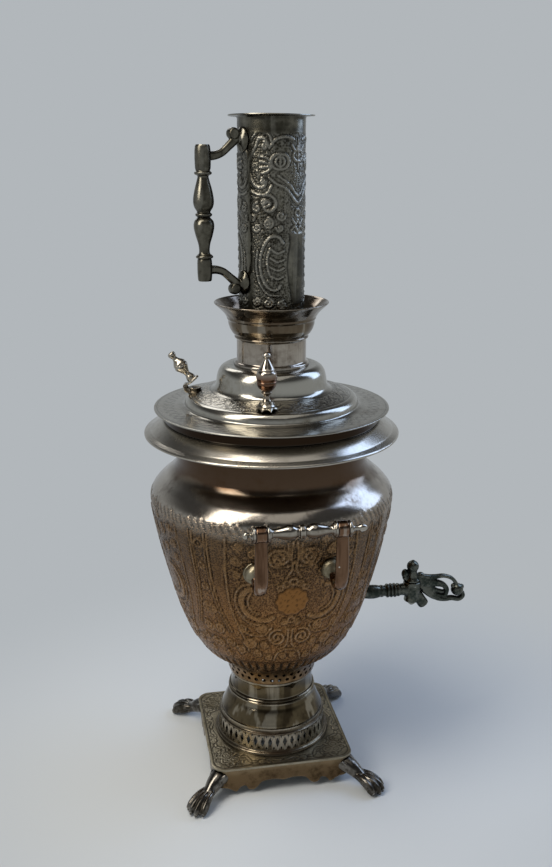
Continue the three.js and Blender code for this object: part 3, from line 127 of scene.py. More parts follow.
def sweep(stations, side, sides=16, power=1.0, steps=6):
    # stations are x, y, z, half width along side, half height across it
    s = curveThrough(stations, steps)
    path = s[:, :3]
    run = np.gradient(path, axis=0)
    run /= np.linalg.norm(run, axis=1)[:, None] + 1e-9
    across = np.array(side, float)
    across = across - run * (run @ across)[:, None]
    across /= np.linalg.norm(across, axis=1)[:, None]
    up = np.cross(run, across)
    angle = np.arange(sides) * fullTurn / sides
    c, d = np.cos(angle), np.sin(angle)
    c, d = np.sign(c) * np.abs(c) ** power, np.sign(d) * np.abs(d) ** power
    points = (path[:, None] + across[:, None] * (s[:, 3, None] * c)[..., None]
              + up[:, None] * (s[:, 4, None] * d)[..., None]).reshape(-1, 3)
    faces = gridFaces(len(s), sides, False).tolist()
    first, last = len(points), len(points) + 1
    end = (len(s) - 1) * sides
    for j in range(sides):
        k = (j + 1) % sides
        faces += [[first, k, j], [last, end + j, end + k]]
    return np.concatenate([points, path[:1], path[-1:]]), faces


def ballShape(at, radius, stretch=(1, 1, 1), sides=16):
    share = np.linspace(0, math.pi, sides // 2 + 1)
    points, faces = lathe(np.stack([radius * np.sin(share), -radius * np.cos(share)], 1), sides, False)
    return points * stretch + at, faces


def joined(*shapes):
    points, faces, first = [], [], 0
    for p, f in shapes:
        points.append(p)
        faces += [[i + first for i in face] for face in f]
        first += len(p)
    return np.concatenate(points), faces


def moved(shape, by):
    return shape[0] + by, shape[1]


def turnedAbout(shape, degrees):
    a = math.radians(degrees)
    p = shape[0]
    return np.stack([p[:, 0] * math.cos(a) - p[:, 1] * math.sin(a),
                     p[:, 0] * math.sin(a) + p[:, 1] * math.cos(a), p[:, 2]], 1), shape[1]


def placed(name, data):
    thing = bpy.data.objects.new(name, data)
    bpy.context.scene.collection.objects.link(thing)
    return thing


def makeObject(name, shape, marks=None):
    mesh = bpy.data.meshes.new(name)
    mesh.from_pydata(((shape[0] + (axisX, 0, 0)) / 1000).tolist(), [], shape[1])
    for mark, values in (marks or {}).items():
        attribute = mesh.attributes.new(mark, "FLOAT", "POINT")
        attribute.data.foreach_set("value", np.asarray(values, np.float32).ravel())
    solid = bmesh.new()
    solid.from_mesh(mesh)
    bmesh.ops.remove_doubles(solid, verts=solid.verts, dist=2e-6)
    bmesh.ops.dissolve_degenerate(solid, edges=solid.edges, dist=1e-7)
    if solid.calc_volume(signed=True) < 0:
        bmesh.ops.reverse_faces(solid, faces=solid.faces)
    solid.to_mesh(mesh)
    solid.free()
    return placed(name, mesh)


def baked(thing):
    # the evaluated mesh takes the place of the modifiers
    bpy.context.view_layer.update()
    seen = thing.evaluated_get(bpy.context.evaluated_depsgraph_get())
    mesh = bpy.data.meshes.new_from_object(seen)
    mesh.name = thing.name
    thing.modifiers.clear()
    thing.data = mesh
    return thing


def fused(thing, grain, passes=2):
    # cast pieces: their parts melt into one skin
    remesh = thing.modifiers.new("skin", "REMESH")
    remesh.mode = "VOXEL"
    remesh.voxel_size = grain / 1000
    if passes:
        ease = thing.modifiers.new("ease", "SMOOTH")
        ease.factor, ease.iterations = 0.5, passes
    return baked(thing)


def finishPiece(thing, material, body, replaced=(), sharp=38):
    thing.data.materials.clear()
    thing.data.materials.append(material)
    thing.data.shade_smooth()
    thing.data.set_sharp_from_angle(angle=math.radians(sharp))
    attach(thing, body)
    if replaced:
        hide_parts(*replaced)
    return thing


def piece(name, shape, material, body, replaced=(), marks=None, sharp=38):
    return finishPiece(makeObject(name, shape, marks), material, body, replaced, sharp)


# Materials

def hexColour(text):
    parts = [int(text[i:i + 2], 16) / 255 for i in (1, 3, 5)]
    return [c / 12.92 if c <= 0.04045 else ((c + 0.055) / 1.055) ** 2.4 for c in parts] + [1.0]


def addNode(tree, kind, settings=None, sockets=None):
    # a node given for a socket stands for its first output
    node = tree.nodes.new(kind)
    for name, value in (settings or {}).items():
        setattr(node, name, value)
    for key, value in (sockets or {}).items():
        if isinstance(value, bpy.types.Node):
            value = value.outputs[0]
        if isinstance(value, bpy.types.NodeSocket):
            tree.links.new(value, node.inputs[key])
        else:
            node.inputs[key].default_value = value
    return node


usualMetal = {
    "cloud": 34, "spot": 5, "run": 16, "hollow": 6, "punch": 2.2, "bumpDepth": 0.4,     # in mm
    "sway": 0.03, "filmLow": 0.42, "filmHigh": 0.62, "grimeAndShade": 0.9, "wearAndHighlight": 0.5, "dents": 0.1, "scratch": 0.05,
    "bump": 0.5, "ridged": 0.5, "pitted": 0.6, "groundRough": 0.14, "metallic": 1.0, "upright": False,
}


def metalFinish(name, look):
    look = {**usualMetal, **look}
    material = bpy.data.materials.new(name)
    material.use_nodes = True
    tree = material.node_tree
    tree.nodes.clear()
    place = addNode(tree, "ShaderNodeTexCoord").outputs["Object"]
    grains = {                              # size in mm, detail, roughness, stretch
        "clouds": (look["cloud"], 5, 0.6, (1, 1, 1)),
        "spots": (look["spot"], 3, 0.6, (1, 1, 1)),
        "scratches": (0.8, 2, 0.6, (1, 1, 14) if look["upright"] else (9, 9, 1)),
    }
    if "streak" in look:
        grains["runs"] = (look["run"], 3, 0.5, (1, 1, 0.06))
    noise = {}
    for grain, (size, detail, roughness, stretch) in grains.items():
        source = addNode(tree, "ShaderNodeMapping", None, {"Vector": place, "Scale": stretch})
        noise[grain] = addNode(tree, "ShaderNodeTexNoise", None, {
            "Vector": source, "Scale": 1000 / size, "Detail": detail, "Roughness": roughness}).outputs["Fac"]
    # Map Range takes its value at 0, from what range at 1 and 2, to what range at 3 and 4
    eased = {"interpolation_type": "SMOOTHSTEP"}
    times, timesPlus = {"operation": "MULTIPLY"}, {"operation": "MULTIPLY_ADD"}
    spotty = addNode(tree, "ShaderNodeMath", times, {0: noise["spots"], 1: 0.3})
    cloudy = addNode(tree, "ShaderNodeMath", timesPlus, {0: noise["clouds"], 1: 0.7, 2: spotty})
    film = addNode(tree, "ShaderNodeMapRange", eased, {0: cloudy, 1: look["filmLow"], 2: look["filmHigh"]})
    rough = addNode(tree, "ShaderNodeMapRange", eased, {0: film, 3: look["rough"][0], 4: look["rough"][1]})
    height = addNode(tree, "ShaderNodeMath", times, {0: noise["spots"], 1: look["dents"]})
    colour = hexColour(look["metal"])
    if "levels" in look:                    # heights in mm and the colour there, which on the urn and the handle bars holds painted light and reflections
        low, high = look["levels"][0][0], look["levels"][-1][0]
        sway = look["sway"]                 # in metres, by which these heights wander
        level = addNode(tree, "ShaderNodeSeparateXYZ", None, {0: place}).outputs[2]
        level = addNode(tree, "ShaderNodeMath", timesPlus, {0: noise["clouds"], 1: sway, 2: level})
        share = addNode(tree, "ShaderNodeMapRange", None, {
            0: level, 1: low / 1000 + sway / 2, 2: high / 1000 + sway / 2})
        ramp = addNode(tree, "ShaderNodeValToRGB", None, {0: share})
        stops = ramp.color_ramp.elements
        for number, (stage, tint) in enumerate(look["levels"]):
            stop = stops[number] if number < 2 else stops.new(1.0)
            stop.position, stop.color = (stage - low) / (high - low), hexColour(tint)
        colour = ramp
    layers = [(film, "film")]               # how much of which colour goes on the metal, from the lowest up: tarnish and grime, and painted shade and highlight
    if "streak" in look:                    # upright runs of tarnish, and between them bright runs that are painted reflection streaks
        for low, high, most, tint in ((0.5, 0.62, look["streak"], "film"),
                                      (0.44, 0.36, look["streak"] / 2, "bright")):
            run = addNode(tree, "ShaderNodeMapRange", eased, {0: noise["runs"], 1: low, 2: high, 4: most})
            layers.append((run, tint))
    # darker in hollows, found by ambient occlusion: painted shade, with the grime the hollows hold
    hollow = addNode(tree, "ShaderNodeAmbientOcclusion", {"samples": 4}, {
        "Distance": look["hollow"] / 1000}).outputs["AO"]
    grimeAndShade = addNode(tree, "ShaderNodeMapRange", eased, {0: hollow, 1: 0.95, 2: 0.45, 4: look["grimeAndShade"]})
    layers.append((grimeAndShade, "dirtAndShadeColour"))
    if "chased" in look:
        relief, line, ground = [addNode(tree, "ShaderNodeAttribute", {"attribute_name": mark}).outputs["Fac"]
                                for mark in ("relief", "line", "ground")]
        punch = addNode(tree, "ShaderNodeTexVoronoi", None, {       # punched ground, about 2 mm apart
            "Vector": place, "Scale": 1000 / look["punch"], "Randomness": 0.8}).outputs["Distance"]
        pits, ridges = [addNode(tree, "ShaderNodeMapRange", eased, {0: punch, 1: low, 2: high, 4: ground})
                        for low, high in ((0.42, 0.14), (0.44, 0.66))]
        raised = addNode(tree, "ShaderNodeMath", times, {0: relief, 1: ground})
        work = [(ridges, look["ridged"], "raised"), (pits, look["pitted"], "dirtAndShadeColour"),
                (raised, look["chased"], "raised"), (line, 0.85, "dirtAndShadeColour")]
        if "bare" in look:                  # rubbed through to copper on the urn's medallion; on the lid's skirt, painted shade
            bare = addNode(tree, "ShaderNodeAttribute", {"attribute_name": "bare"}).outputs["Fac"]
            work.insert(3, (bare, 1.0, "bare"))
        for value, most, tint in work:
            layers.append((addNode(tree, "ShaderNodeMath", times, {0: value, 1: most}), tint))
        rough = addNode(tree, "ShaderNodeMath", timesPlus, {0: ground, 1: look["groundRough"], 2: rough})
        carved = addNode(tree, "ShaderNodeMath", {"operation": "SUBTRACT"}, {0: ridges, 1: pits})
        height = addNode(tree, "ShaderNodeMath", timesPlus, {0: carved, 1: 0.5, 2: height})
    geometry = addNode(tree, "ShaderNodeNewGeometry")
    # edges and ridges lighter, found by pointiness: wear, and painted highlight
    wornAndLit = addNode(tree, "ShaderNodeMapRange", eased, {
        0: geometry.outputs["Pointiness"], 1: 0.515, 2: 0.58, 4: look["wearAndHighlight"]})
    layers.append((wornAndLit, "bright"))
    fromAxis = addNode(tree, "ShaderNodeVectorMath", timesPlus, {
        0: place, 1: (1, 1, 0), 2: (-axisX / 1000, 0, 0)})
    sootAndShadeLayers = []                              # value, where the soot and painted shade start and are full, how much, how matt
    if "inner" in look:                     # faces that look towards the axis: soot, and painted shade
        out = addNode(tree, "ShaderNodeVectorMath", {"operation": "NORMALIZE"}, {0: fromAxis})
        inward = addNode(tree, "ShaderNodeVectorMath", {"operation": "DOT_PRODUCT"}, {
            0: out, 1: geometry.outputs["Normal"]}).outputs["Value"]
        sootAndShadeLayers.append((inward, -0.1, -0.5, look["inner"], 0.4))
    if "under" in look:                     # what lies nearer the axis than this, in mm, gets painted shade: the plate under the pedestal
        reach = addNode(tree, "ShaderNodeVectorMath", {"operation": "LENGTH"}, {0: fromAxis}).outputs["Value"]
        sootAndShadeLayers.append((reach, look["under"] / 1000, (look["under"] - 3) / 1000, 0.97, 0.5))
    for value, low, high, most, matt in sootAndShadeLayers:
        sootAndShadeAmount = addNode(tree, "ShaderNodeMapRange", eased, {0: value, 1: low, 2: high, 4: most})
        layers.append((sootAndShadeAmount, "dirtAndShadeColour"))
        rough = addNode(tree, "ShaderNodeMath", {"operation": "MULTIPLY_ADD", "use_clamp": True}, {
            0: sootAndShadeAmount, 1: matt, 2: rough})
    for amount, tint in layers:
        colour = addNode(tree, "ShaderNodeMix", {"data_type": "RGBA"}, {
            0: amount, 6: colour, 7: hexColour(look[tint])}).outputs[2]
    height = addNode(tree, "ShaderNodeMath", timesPlus, {
        0: noise["scratches"], 1: look["scratch"], 2: height})
    bump = addNode(tree, "ShaderNodeBump", None, {
        "Strength": look["bump"], "Distance": look["bumpDepth"] / 1000, "Height": height})
    shader = addNode(tree, "ShaderNodeBsdfPrincipled", None, {
        "Base Color": colour, "Metallic": look["metallic"], "Roughness": rough, "Normal": bump})
    addNode(tree, "ShaderNodeOutputMaterial", None, {0: shader})
    return material


# spun brass under worn silver plate: pale, mirror-like, with brown film in clouds
platedBrass = metalFinish("platedBrass", {
    "metal": "#B3ACA0", "film": "#8A7E69", "dirtAndShadeColour": "#1E1811", "bright": "#DAD4C8",
    "rough": (0.12, 0.24), "filmLow": 0.44, "filmHigh": 0.78, "hollow": 9, "grimeAndShade": 0.85, "wearAndHighlight": 0.35,
    "dents": 0.16})
# the brim's plate: the same silver, rubbed satin by cloths
brimPlate = metalFinish("brimPlate", {
    "metal": "#B6B0A5", "film": "#93897A", "dirtAndShadeColour": "#1E1811", "bright": "#DAD4C8", "rough": (0.2, 0.34),
    "filmLow": 0.44, "filmHigh": 0.78, "hollow": 9, "grimeAndShade": 0.75, "wearAndHighlight": 0.35, "dents": 0.16})
# pedestal brass: darker silver plate with upright brown runs and painted bright reflection streaks, soot and
# painted shade on its inward faces
pedestalBrass = metalFinish("pedestalBrass", {
    "metal": "#60543F", "film": "#2C2318", "dirtAndShadeColour": "#100B07", "bright": "#C4BAA6",
    "rough": (0.08, 0.19), "filmLow": 0.46, "filmHigh": 0.74, "hollow": 12, "wearAndHighlight": 0.35, "streak": 0.75,
    "run": 15, "inner": 0.95})
# the urn's chased brass, coloured by height with painted reflections: brown below where it mirrors a brown
# floor, light at the widest part and shoulder where it mirrors bright light, dark at the neck where it
# mirrors the brim's shaded underside
chasedBrass = metalFinish("chasedBrass", {
    "levels": [(134, "#7A5531"), (200, "#845B34"), (240, "#705136"), (274, "#55412F"), (299, "#594A3B"),
               (309, "#9C9387"), (331, "#B3ABA0"), (338, "#786C5E"), (343, "#584637"), (387, "#4A392B")],
    "metal": "#9C9486", "film": "#4A3520", "dirtAndShadeColour": "#110B06", "bright": "#D6CDBD", "raised": "#B1895B",
    "bare": "#8C6238", "rough": (0.13, 0.24), "chased": 0.32, "ridged": 0.34, "grimeAndShade": 0.85, "filmLow": 0.47,
    "filmHigh": 0.78, "bump": 0.9, "punch": 1.9, "pitted": 0.7, "sway": 0.012})
# pierced and engraved brass, duller and browner than the urn, with soot and painted shade on its inward faces
agedPlate = metalFinish("agedPlate", {
    "metal": "#7C715E", "film": "#4C4033", "dirtAndShadeColour": "#120D08", "bright": "#C8BEAB", "raised": "#A89C87",
    "rough": (0.2, 0.36), "chased": 0.5, "hollow": 7, "groundRough": 0.06, "pitted": 0.4, "inner": 0.95})
# base plate: dull olive silver, its engraving full of polish dirt, with painted shade under the pedestal
baseBrass = metalFinish("baseBrass", {
    "metal": "#968D78", "film": "#766C56", "dirtAndShadeColour": "#1C160E", "bright": "#CFC6B2", "raised": "#A79D86",
    "under": 57, "rough": (0.3, 0.46), "chased": 0.6, "hollow": 7, "groundRough": 0.08, "pitted": 0.5,
    "ridged": 0.3, "punch": 2.3, "bump": 0.7})
# pierced collar under the urn: brown brass with soot and painted shade on its inward faces, seen in its holes
galleryBrass = metalFinish("galleryBrass", {
    "metal": "#8A6E4E", "film": "#57432C", "dirtAndShadeColour": "#0E0905", "bright": "#B39C7B",
    "rough": (0.22, 0.38), "wearAndHighlight": 0.6, "inner": 0.97})
# base apron: olive-brown brass that has lost its plate
agedCopper = metalFinish("agedCopper", {
    "metal": "#6F5B42", "film": "#453624", "dirtAndShadeColour": "#150F09", "bright": "#A28E70",
    "rough": (0.28, 0.46), "grimeAndShade": 0.85, "wearAndHighlight": 0.45})
# handle straps: copper-brown, light on their edges with the plate left there and painted highlight, and
# painted upright reflection streaks
strapCopper = metalFinish("strapCopper", {
    "metal": "#7A5E49", "film": "#4F3827", "dirtAndShadeColour": "#120B07", "bright": "#DDD5C8", "rough": (0.1, 0.22),
    "streak": 0.6, "run": 5, "hollow": 5, "grimeAndShade": 0.85, "wearAndHighlight": 0.9, "cloud": 18, "filmLow": 0.5,
    "filmHigh": 0.8, "upright": True})
# smoke-darkened pipe: grey-brown metal, bright only on its chased lines
smokedBrass = metalFinish("smokedBrass", {
    "metal": "#696559", "film": "#3C3930", "dirtAndShadeColour": "#0D0B09", "bright": "#A8A498", "raised": "#99958A",
    "rough": (0.16, 0.32), "chased": 0.6, "hollow": 5, "grimeAndShade": 0.85, "wearAndHighlight": 0.45, "groundRough": 0.06,
    "pitted": 0.7, "ridged": 0.3, "punch": 2.1, "streak": 0.4, "run": 14, "inner": 0.8})
# blackened cast bronze with a green cast, rubbed bright on its ridges, which also carry painted highlight
castBronze = metalFinish("castBronze", {
    "metal": "#65665E", "film": "#313833", "dirtAndShadeColour": "#0A0C0B", "bright": "#A3A49B",
    "rough": (0.24, 0.44), "cloud": 14, "spot": 2.4, "hollow": 5, "wearAndHighlight": 0.75, "dents": 0.35, "bump": 0.8})
# cast feet: the same bronze, grey and worn smooth on ankles and toes, whose ridges are lighter: wear and
# painted highlight
wornBronze = metalFinish("wornBronze", {
    "metal": "#7C776F", "film": "#3E3932", "dirtAndShadeColour": "#080706", "bright": "#D6D3CC",
    "rough": (0.15, 0.32), "cloud": 16, "spot": 3, "hollow": 7, "grimeAndShade": 0.96, "wearAndHighlight": 0.85, "dents": 0.2})
# iron full of soot: matt, nearly black, with rusty patches
sootyIron = metalFinish("sootyIron", {
    "metal": "#3A3632", "film": "#1F1B18", "dirtAndShadeColour": "#0B0A09", "bright": "#5A5148", "rough": (0.6, 0.85),
    "grimeAndShade": 0.8, "metallic": 0.6, "dents": 0.5, "bump": 0.9})
print("materials made")


# Geometry Nodes trees for what repeats round an axis

def nodeTree(name, sockets):
    tree = bpy.data.node_groups.new(name, "GeometryNodeTree")
    tree.interface.new_socket("Geometry", in_out="INPUT", socket_type="NodeSocketGeometry")
    for label, kind in sockets:
        tree.interface.new_socket(label, in_out="INPUT", socket_type=kind)
    tree.interface.new_socket("Geometry", in_out="OUTPUT", socket_type="NodeSocketGeometry")
    return tree


ringSockets = [("Count", "NodeSocketInt"), ("Shift", "NodeSocketFloat"), ("Axis", "NodeSocketVector"),
               ("Material", "NodeSocketMaterial"), ("Cutter", "NodeSocketObject")]


def spreadRound(tree, start, single):
    # copies of a shape turned about the axis, one pitch apart
    back = addNode(tree, "ShaderNodeVectorMath", {"operation": "SCALE"},
                   {0: start.outputs["Axis"], "Scale": -1.0})
    centred = addNode(tree, "GeometryNodeTransform", None, {"Geometry": single, "Translation": back})
    points = addNode(tree, "GeometryNodePoints", None, {
        "Count": start.outputs["Count"], "Position": start.outputs["Axis"]})
    index = addNode(tree, "GeometryNodeInputIndex")
    turn = addNode(tree, "ShaderNodeMath", {"operation": "ADD"}, {0: index, 1: start.outputs["Shift"]})
    part = addNode(tree, "ShaderNodeMath", {"operation": "DIVIDE"}, {0: turn, 1: start.outputs["Count"]})
    angle = addNode(tree, "ShaderNodeMath", {"operation": "MULTIPLY"}, {0: part, 1: fullTurn})
    about = addNode(tree, "ShaderNodeCombineXYZ", None, {2: angle})
    spin = addNode(tree, "FunctionNodeEulerToRotation", None, {0: about})
    copies = addNode(tree, "GeometryNodeInstanceOnPoints", None, {
        "Points": points, "Instance": centred, "Rotation": spin})
    return addNode(tree, "GeometryNodeRealizeInstances", None, {0: copies})


def endTree(tree, start, geometry):
    last = addNode(tree, "GeometryNodeRealizeInstances", None, {0: geometry})
    painted = addNode(tree, "GeometryNodeSetMaterial", None, {
        "Geometry": last, "Material": start.outputs["Material"]})
    addNode(tree, "NodeGroupOutput", None, {0: painted})
    return tree


ringTree = nodeTree("ringOfPieces", ringSockets)
ringStart = addNode(ringTree, "NodeGroupInput")
endTree(ringTree, ringStart, spreadRound(ringTree, ringStart, ringStart.outputs["Geometry"]))

pierceTree = nodeTree("piercedRow", ringSockets)
pierceStart = addNode(pierceTree, "NodeGroupInput")
pierceCutter = addNode(pierceTree, "GeometryNodeObjectInfo", {"transform_space": "ORIGINAL"}, {
    0: pierceStart.outputs["Cutter"]})
pierceCut = addNode(
    pierceTree, "GeometryNodeMeshBoolean", {"operation": "DIFFERENCE", "solver": "MANIFOLD"},
    {0: pierceStart.outputs["Geometry"],
     1: spreadRound(pierceTree, pierceStart, pierceCutter.outputs["Geometry"])})
endTree(pierceTree, pierceStart, pierceCut)


def useTree(thing, tree, values):
    modifier = thing.modifiers.new(tree.name, "NODES")
    modifier.node_group = tree
    for item in tree.interface.items_tree:
        if item.item_type == "SOCKET" and item.in_out == "INPUT" and item.name in values:
            modifier[item.identifier] = values[item.name]
    return thing


def ringOf(name, single, count, shift, centre, material, body, replaced=(), sharp=38):
    thing = makeObject(name, single)
    axis = ((axisX + centre[0]) / 1000, centre[1] / 1000, 0.0)
    useTree(thing, ringTree, {"Count": count, "Shift": float(shift), "Axis": axis, "Material": material})
    return finishPiece(baked(thing), material, body, replaced, sharp)


def pierced(name, wall, rows, material, body, replaced=(), sharp=30):
    thing = makeObject(name, wall)
    cutters = []
    for number, (shape, count, shift) in enumerate(rows):
        cutter = makeObject(f"{name}_cutter_{number}", shape)
        cutters.append(cutter)
        useTree(thing, pierceTree, {"Count": count, "Shift": float(shift), "Axis": (axisX / 1000, 0.0, 0.0),
                                    "Material": material, "Cutter": cutter})
    baked(thing)
    for cutter in cutters:
        bpy.data.objects.remove(cutter)
    return finishPiece(thing, material, body, replaced, sharp)


def radialPrism(outline, radius, level, reach=6.0):
    # a prism that points outwards through a wall at the ring's radius, on the +X side
    o = np.asarray(outline, float)
    n = len(o)
    inner = np.stack([np.full(n, radius - reach), o[:, 0], o[:, 1] + level], 1)
    outer = inner + (2 * reach, 0, 0)
    faces = [[j, (j + 1) % n, n + (j + 1) % n, n + j] for j in range(n)]
    return np.concatenate([inner, outer]), faces + [list(range(n))[::-1], list(range(n, 2 * n))]


# Chased ornament: strokes in mm across and up a panel, mirrored about its middle

def flourish(x, y, heading, length, bends, steps=48):
    share = np.linspace(0, 1, steps)
    turning = np.interp(share, np.linspace(0, 1, len(bends)), bends)    # degrees over the whole length
    course = np.radians(heading + np.cumsum(turning) / steps)
    return np.stack([x + np.cumsum(np.cos(course)) * length / steps,
                     y + np.cumsum(np.sin(course)) * length / steps], 1)


def curl(x, y, radius, turns, start, sense):
    share = np.linspace(0, 1, int(26 * turns) + 6)
    angle = np.radians(start) + sense * share * turns * fullTurn
    reach = radius * (1 - 0.86 * share)
    return np.stack([x + reach * np.cos(angle), y + reach * np.sin(angle)], 1)


def ringLine(x, y, radius, lobes=0, depth=0.0):
    angle = np.linspace(0, fullTurn, 64)
    reach = radius * (1 + depth * np.cos(lobes * angle))
    return np.stack([x + reach * np.cos(angle), y + reach * np.sin(angle)], 1)


def distanceTo(across, up, line):
    best = np.full(across.shape, 1e9)
    for a, b in zip(line[:-1], line[1:]):
        step = b - a
        share = np.clip(((across - a[0]) * step[0] + (up - a[1]) * step[1]) / (step @ step + 1e-9), 0, 1)
        best = np.minimum(best, (across - a[0] - share * step[0]) ** 2 + (up - a[1] - share * step[1]) ** 2)
    return np.sqrt(best)


def chase(across, up, strokes):
    relief = np.zeros(across.shape)
    line = np.zeros(across.shape)
    for points, half in strokes:
        near = distanceTo(across, up, points) - half
        depth = min(half / 0.7, 1)
        relief = np.maximum(relief, depth * np.clip(0.8 - near / 0.8, 0, 1))
        line = np.maximum(line, depth * np.exp(-((near - 1.0) / 0.5) ** 2))
    return relief, line * (1 - 0.8 * relief)


def smooth(value, low, high):
    t = np.clip((value - low) / (high - low), 0, 1)
    return t * t * (3 - 2 * t)


def ornamented(top, plain, **fields):
    # rings of points with their marks, then plain rings that close the solid
    rings = np.concatenate([top, plain])
    count, columns = rings.shape[:2]
    none = np.zeros(len(plain) * columns)
    marks = {name: np.concatenate([field.ravel(), none]) for name, field in fields.items()}
    return (rings.reshape(-1, 3), gridFaces(count, columns, True).tolist()), marks


def folded(angle, middle, parts, radius):
    # distance round from the nearest of the panels' middles
    pitch = fullTurn / parts
    return radius * np.abs((angle - middle + pitch / 2) % pitch - pitch / 2)


# Urn's body

body = {
    "outline": [(56, 131.8), (60.5, 133.6), (69.19, 140), (81.7, 155.06), (93.74, 181.1), (105.84, 219.9),
                (118.08, 271), (124, 308), (122.35, 316.75), (116.19, 325), (106.95, 333), (99.6, 340),
                (96.9, 347), (96.5, 356), (96.5, 386.9)],
    "wall": 1.5, "floorHole": 42.5, "floor": 131.8, "columns": 576, "rowStep": 1.62,
    "panelRadius": 110, "raise": 0.45, "groove": 0.45,
    "ornament": (150, 311), "medallion": (236, 16), "fringe": (308, 320), "flutes": (139, 153),
    "sunk": 0.25, "grain": 0.07, "fringeLeaves": 112, "fluteCount": 60, "moulding": 154.5,
    "petals": 5, "petalReach": 6.5, "beads": 14, "beadRing": 11.4,
}


def stroke(half, *points):
    return curveThrough(points, 6), half


panelStrokes = [
    stroke(2.5, (33, 251), (41, 249.5), (47.5, 243), (49, 232), (45, 221), (35, 215), (25, 214), (19, 217.5)),
    stroke(0.8, (37, 257.5), (48, 253), (54.5, 241), (54.5, 227), (47, 213), (33, 207)),
    stroke(0.7, (39, 246), (42, 240), (42.5, 232), (39, 225), (32, 221.5)),
    (curl(13, 286, 10.5, 2.2, -80, 1), 1.1),                    # the pair under the bar
    (curl(13, 286, 15, 0.5, 190, 1), 0.8), stroke(0.8, (1.8, 303), (3, 288), (2, 273), (7, 264)),
    stroke(0.8, (6, 301), (5.4, 292), (3.2, 284)), (ringLine(0, 259.5, 3.4), 0.9),
    (ringLine(6.6, 257, 3), 0.8), (ringLine(12, 252.5, 2.6), 0.8), (ringLine(0, 214, 3.2), 1.0),
    (curl(7.5, 211, 4, 1.3, 90, 1), 0.8),
    (curl(13.5, 192, 10.5, 1.9, 110, -1), 1.1),                 # kidney scrolls under the medallion
    stroke(0.8, (2.5, 203), (2, 192), (4, 181), (11, 177)), stroke(0.8, (18, 186), (14, 190), (12, 196)),
    (curl(31, 203, 6.5, 1.7, 60, 1), 1.0), (curl(44, 184, 7.5, 1.8, 0, -1), 1.2),
    (curl(28, 183, 5, 1.5, 200, 1), 0.9), (curl(52, 201, 5.5, 1.5, 90, 1), 0.9),
    (curl(36, 169, 5.5, 1.5, 90, -1), 1.0), (curl(57, 172, 6, 1.5, 30, 1), 1.0),
    stroke(0.9, (20, 205), (27, 196), (38, 194), (47, 196)),
    stroke(0.9, (0, 176), (8, 174.5), (14, 169), (17, 160)), (curl(6.5, 166, 4.6, 1.4, 60, 1), 0.8),
    (curl(24, 164, 5, 1.5, 90, 1), 0.9),
    stroke(0.8, (59, 304), (61, 280), (62, 256), (61.5, 232), (57.5, 212), (51, 192), (47, 172)),
    stroke(0.8, (76.5, 304), (77.5, 276), (76.5, 246), (72, 218), (64, 196)),
    stroke(0.7, (79.5, 304), (80.5, 276), (79.5, 246), (75, 218), (67, 196)),
    (curl(86.4, 292, 5.4, 1.0, 90, 1), 0.8), (curl(86.4, 268, 4, 1.0, 90, 1), 0.8),
    (curl(86.4, 244, 4, 1.0, 90, 1), 0.8), (curl(84, 219, 6, 1.6, 90, 1), 1.0),
    (curl(79, 197, 7, 1.7, 0, -1), 1.1), (curl(84, 176, 6, 1.5, 90, 1), 1.0),
    (curl(69, 181, 5.5, 1.5, 180, 1), 0.9), (curl(73, 164, 4.5, 1.4, 90, -1), 0.9),
    (curl(35, 290, 6, 1.7, 90, 1), 1.0), (curl(48, 297, 5, 1.5, 0, -1), 0.9),
    (curl(51, 281, 5.5, 1.6, 180, 1), 0.9), (curl(38, 274, 5, 1.5, -60, -1), 0.9),
    (curl(27, 302, 4, 1.4, 90, 1), 0.8), (curl(52, 265, 4.4, 1.4, 60, 1), 0.8),
    (curl(27, 268, 4, 1.4, 90, 1), 0.8),
]
commaChance = np.random.default_rng(7)
for row in range(13):                                           # small commas fill the ground
    for column in range(10):
        commaX = 4 + column * 9 + commaChance.uniform(-2.5, 2.5)
        commaZ = 156 + row * 12 + commaChance.uniform(-3, 3)
        inPlain = 60 < commaX + 0.25 * (250 - min(commaZ, 250)) < 82 and commaZ > 200
        inMedallion = math.hypot(commaX, commaZ - 236) < 26
        if not inPlain and not inMedallion:
            panelStrokes.append((curl(commaX, commaZ, commaChance.uniform(1.6, 2.6), 0.7,
                                      commaChance.uniform(0, 360), 1), 0.3))


def bodyLevels(line):
    # rows crowd where the ornament is
    length = np.concatenate([[0], np.cumsum(np.linalg.norm(np.diff(line, axis=0), axis=1))])
    weight = np.interp(line[:, 1], [131, 138, 330, 345, 387], [2, 0.95, 1.0, 3.2, 6])
    cost = np.concatenate([[0], np.cumsum(np.diff(length) / weight[1:])])
    at = np.interp(np.linspace(0, cost[-1], int(cost[-1] / body["rowStep"])), cost, length)
    return np.stack([np.interp(at, length, line[:, 0]), np.interp(at, length, line[:, 1])], 1)


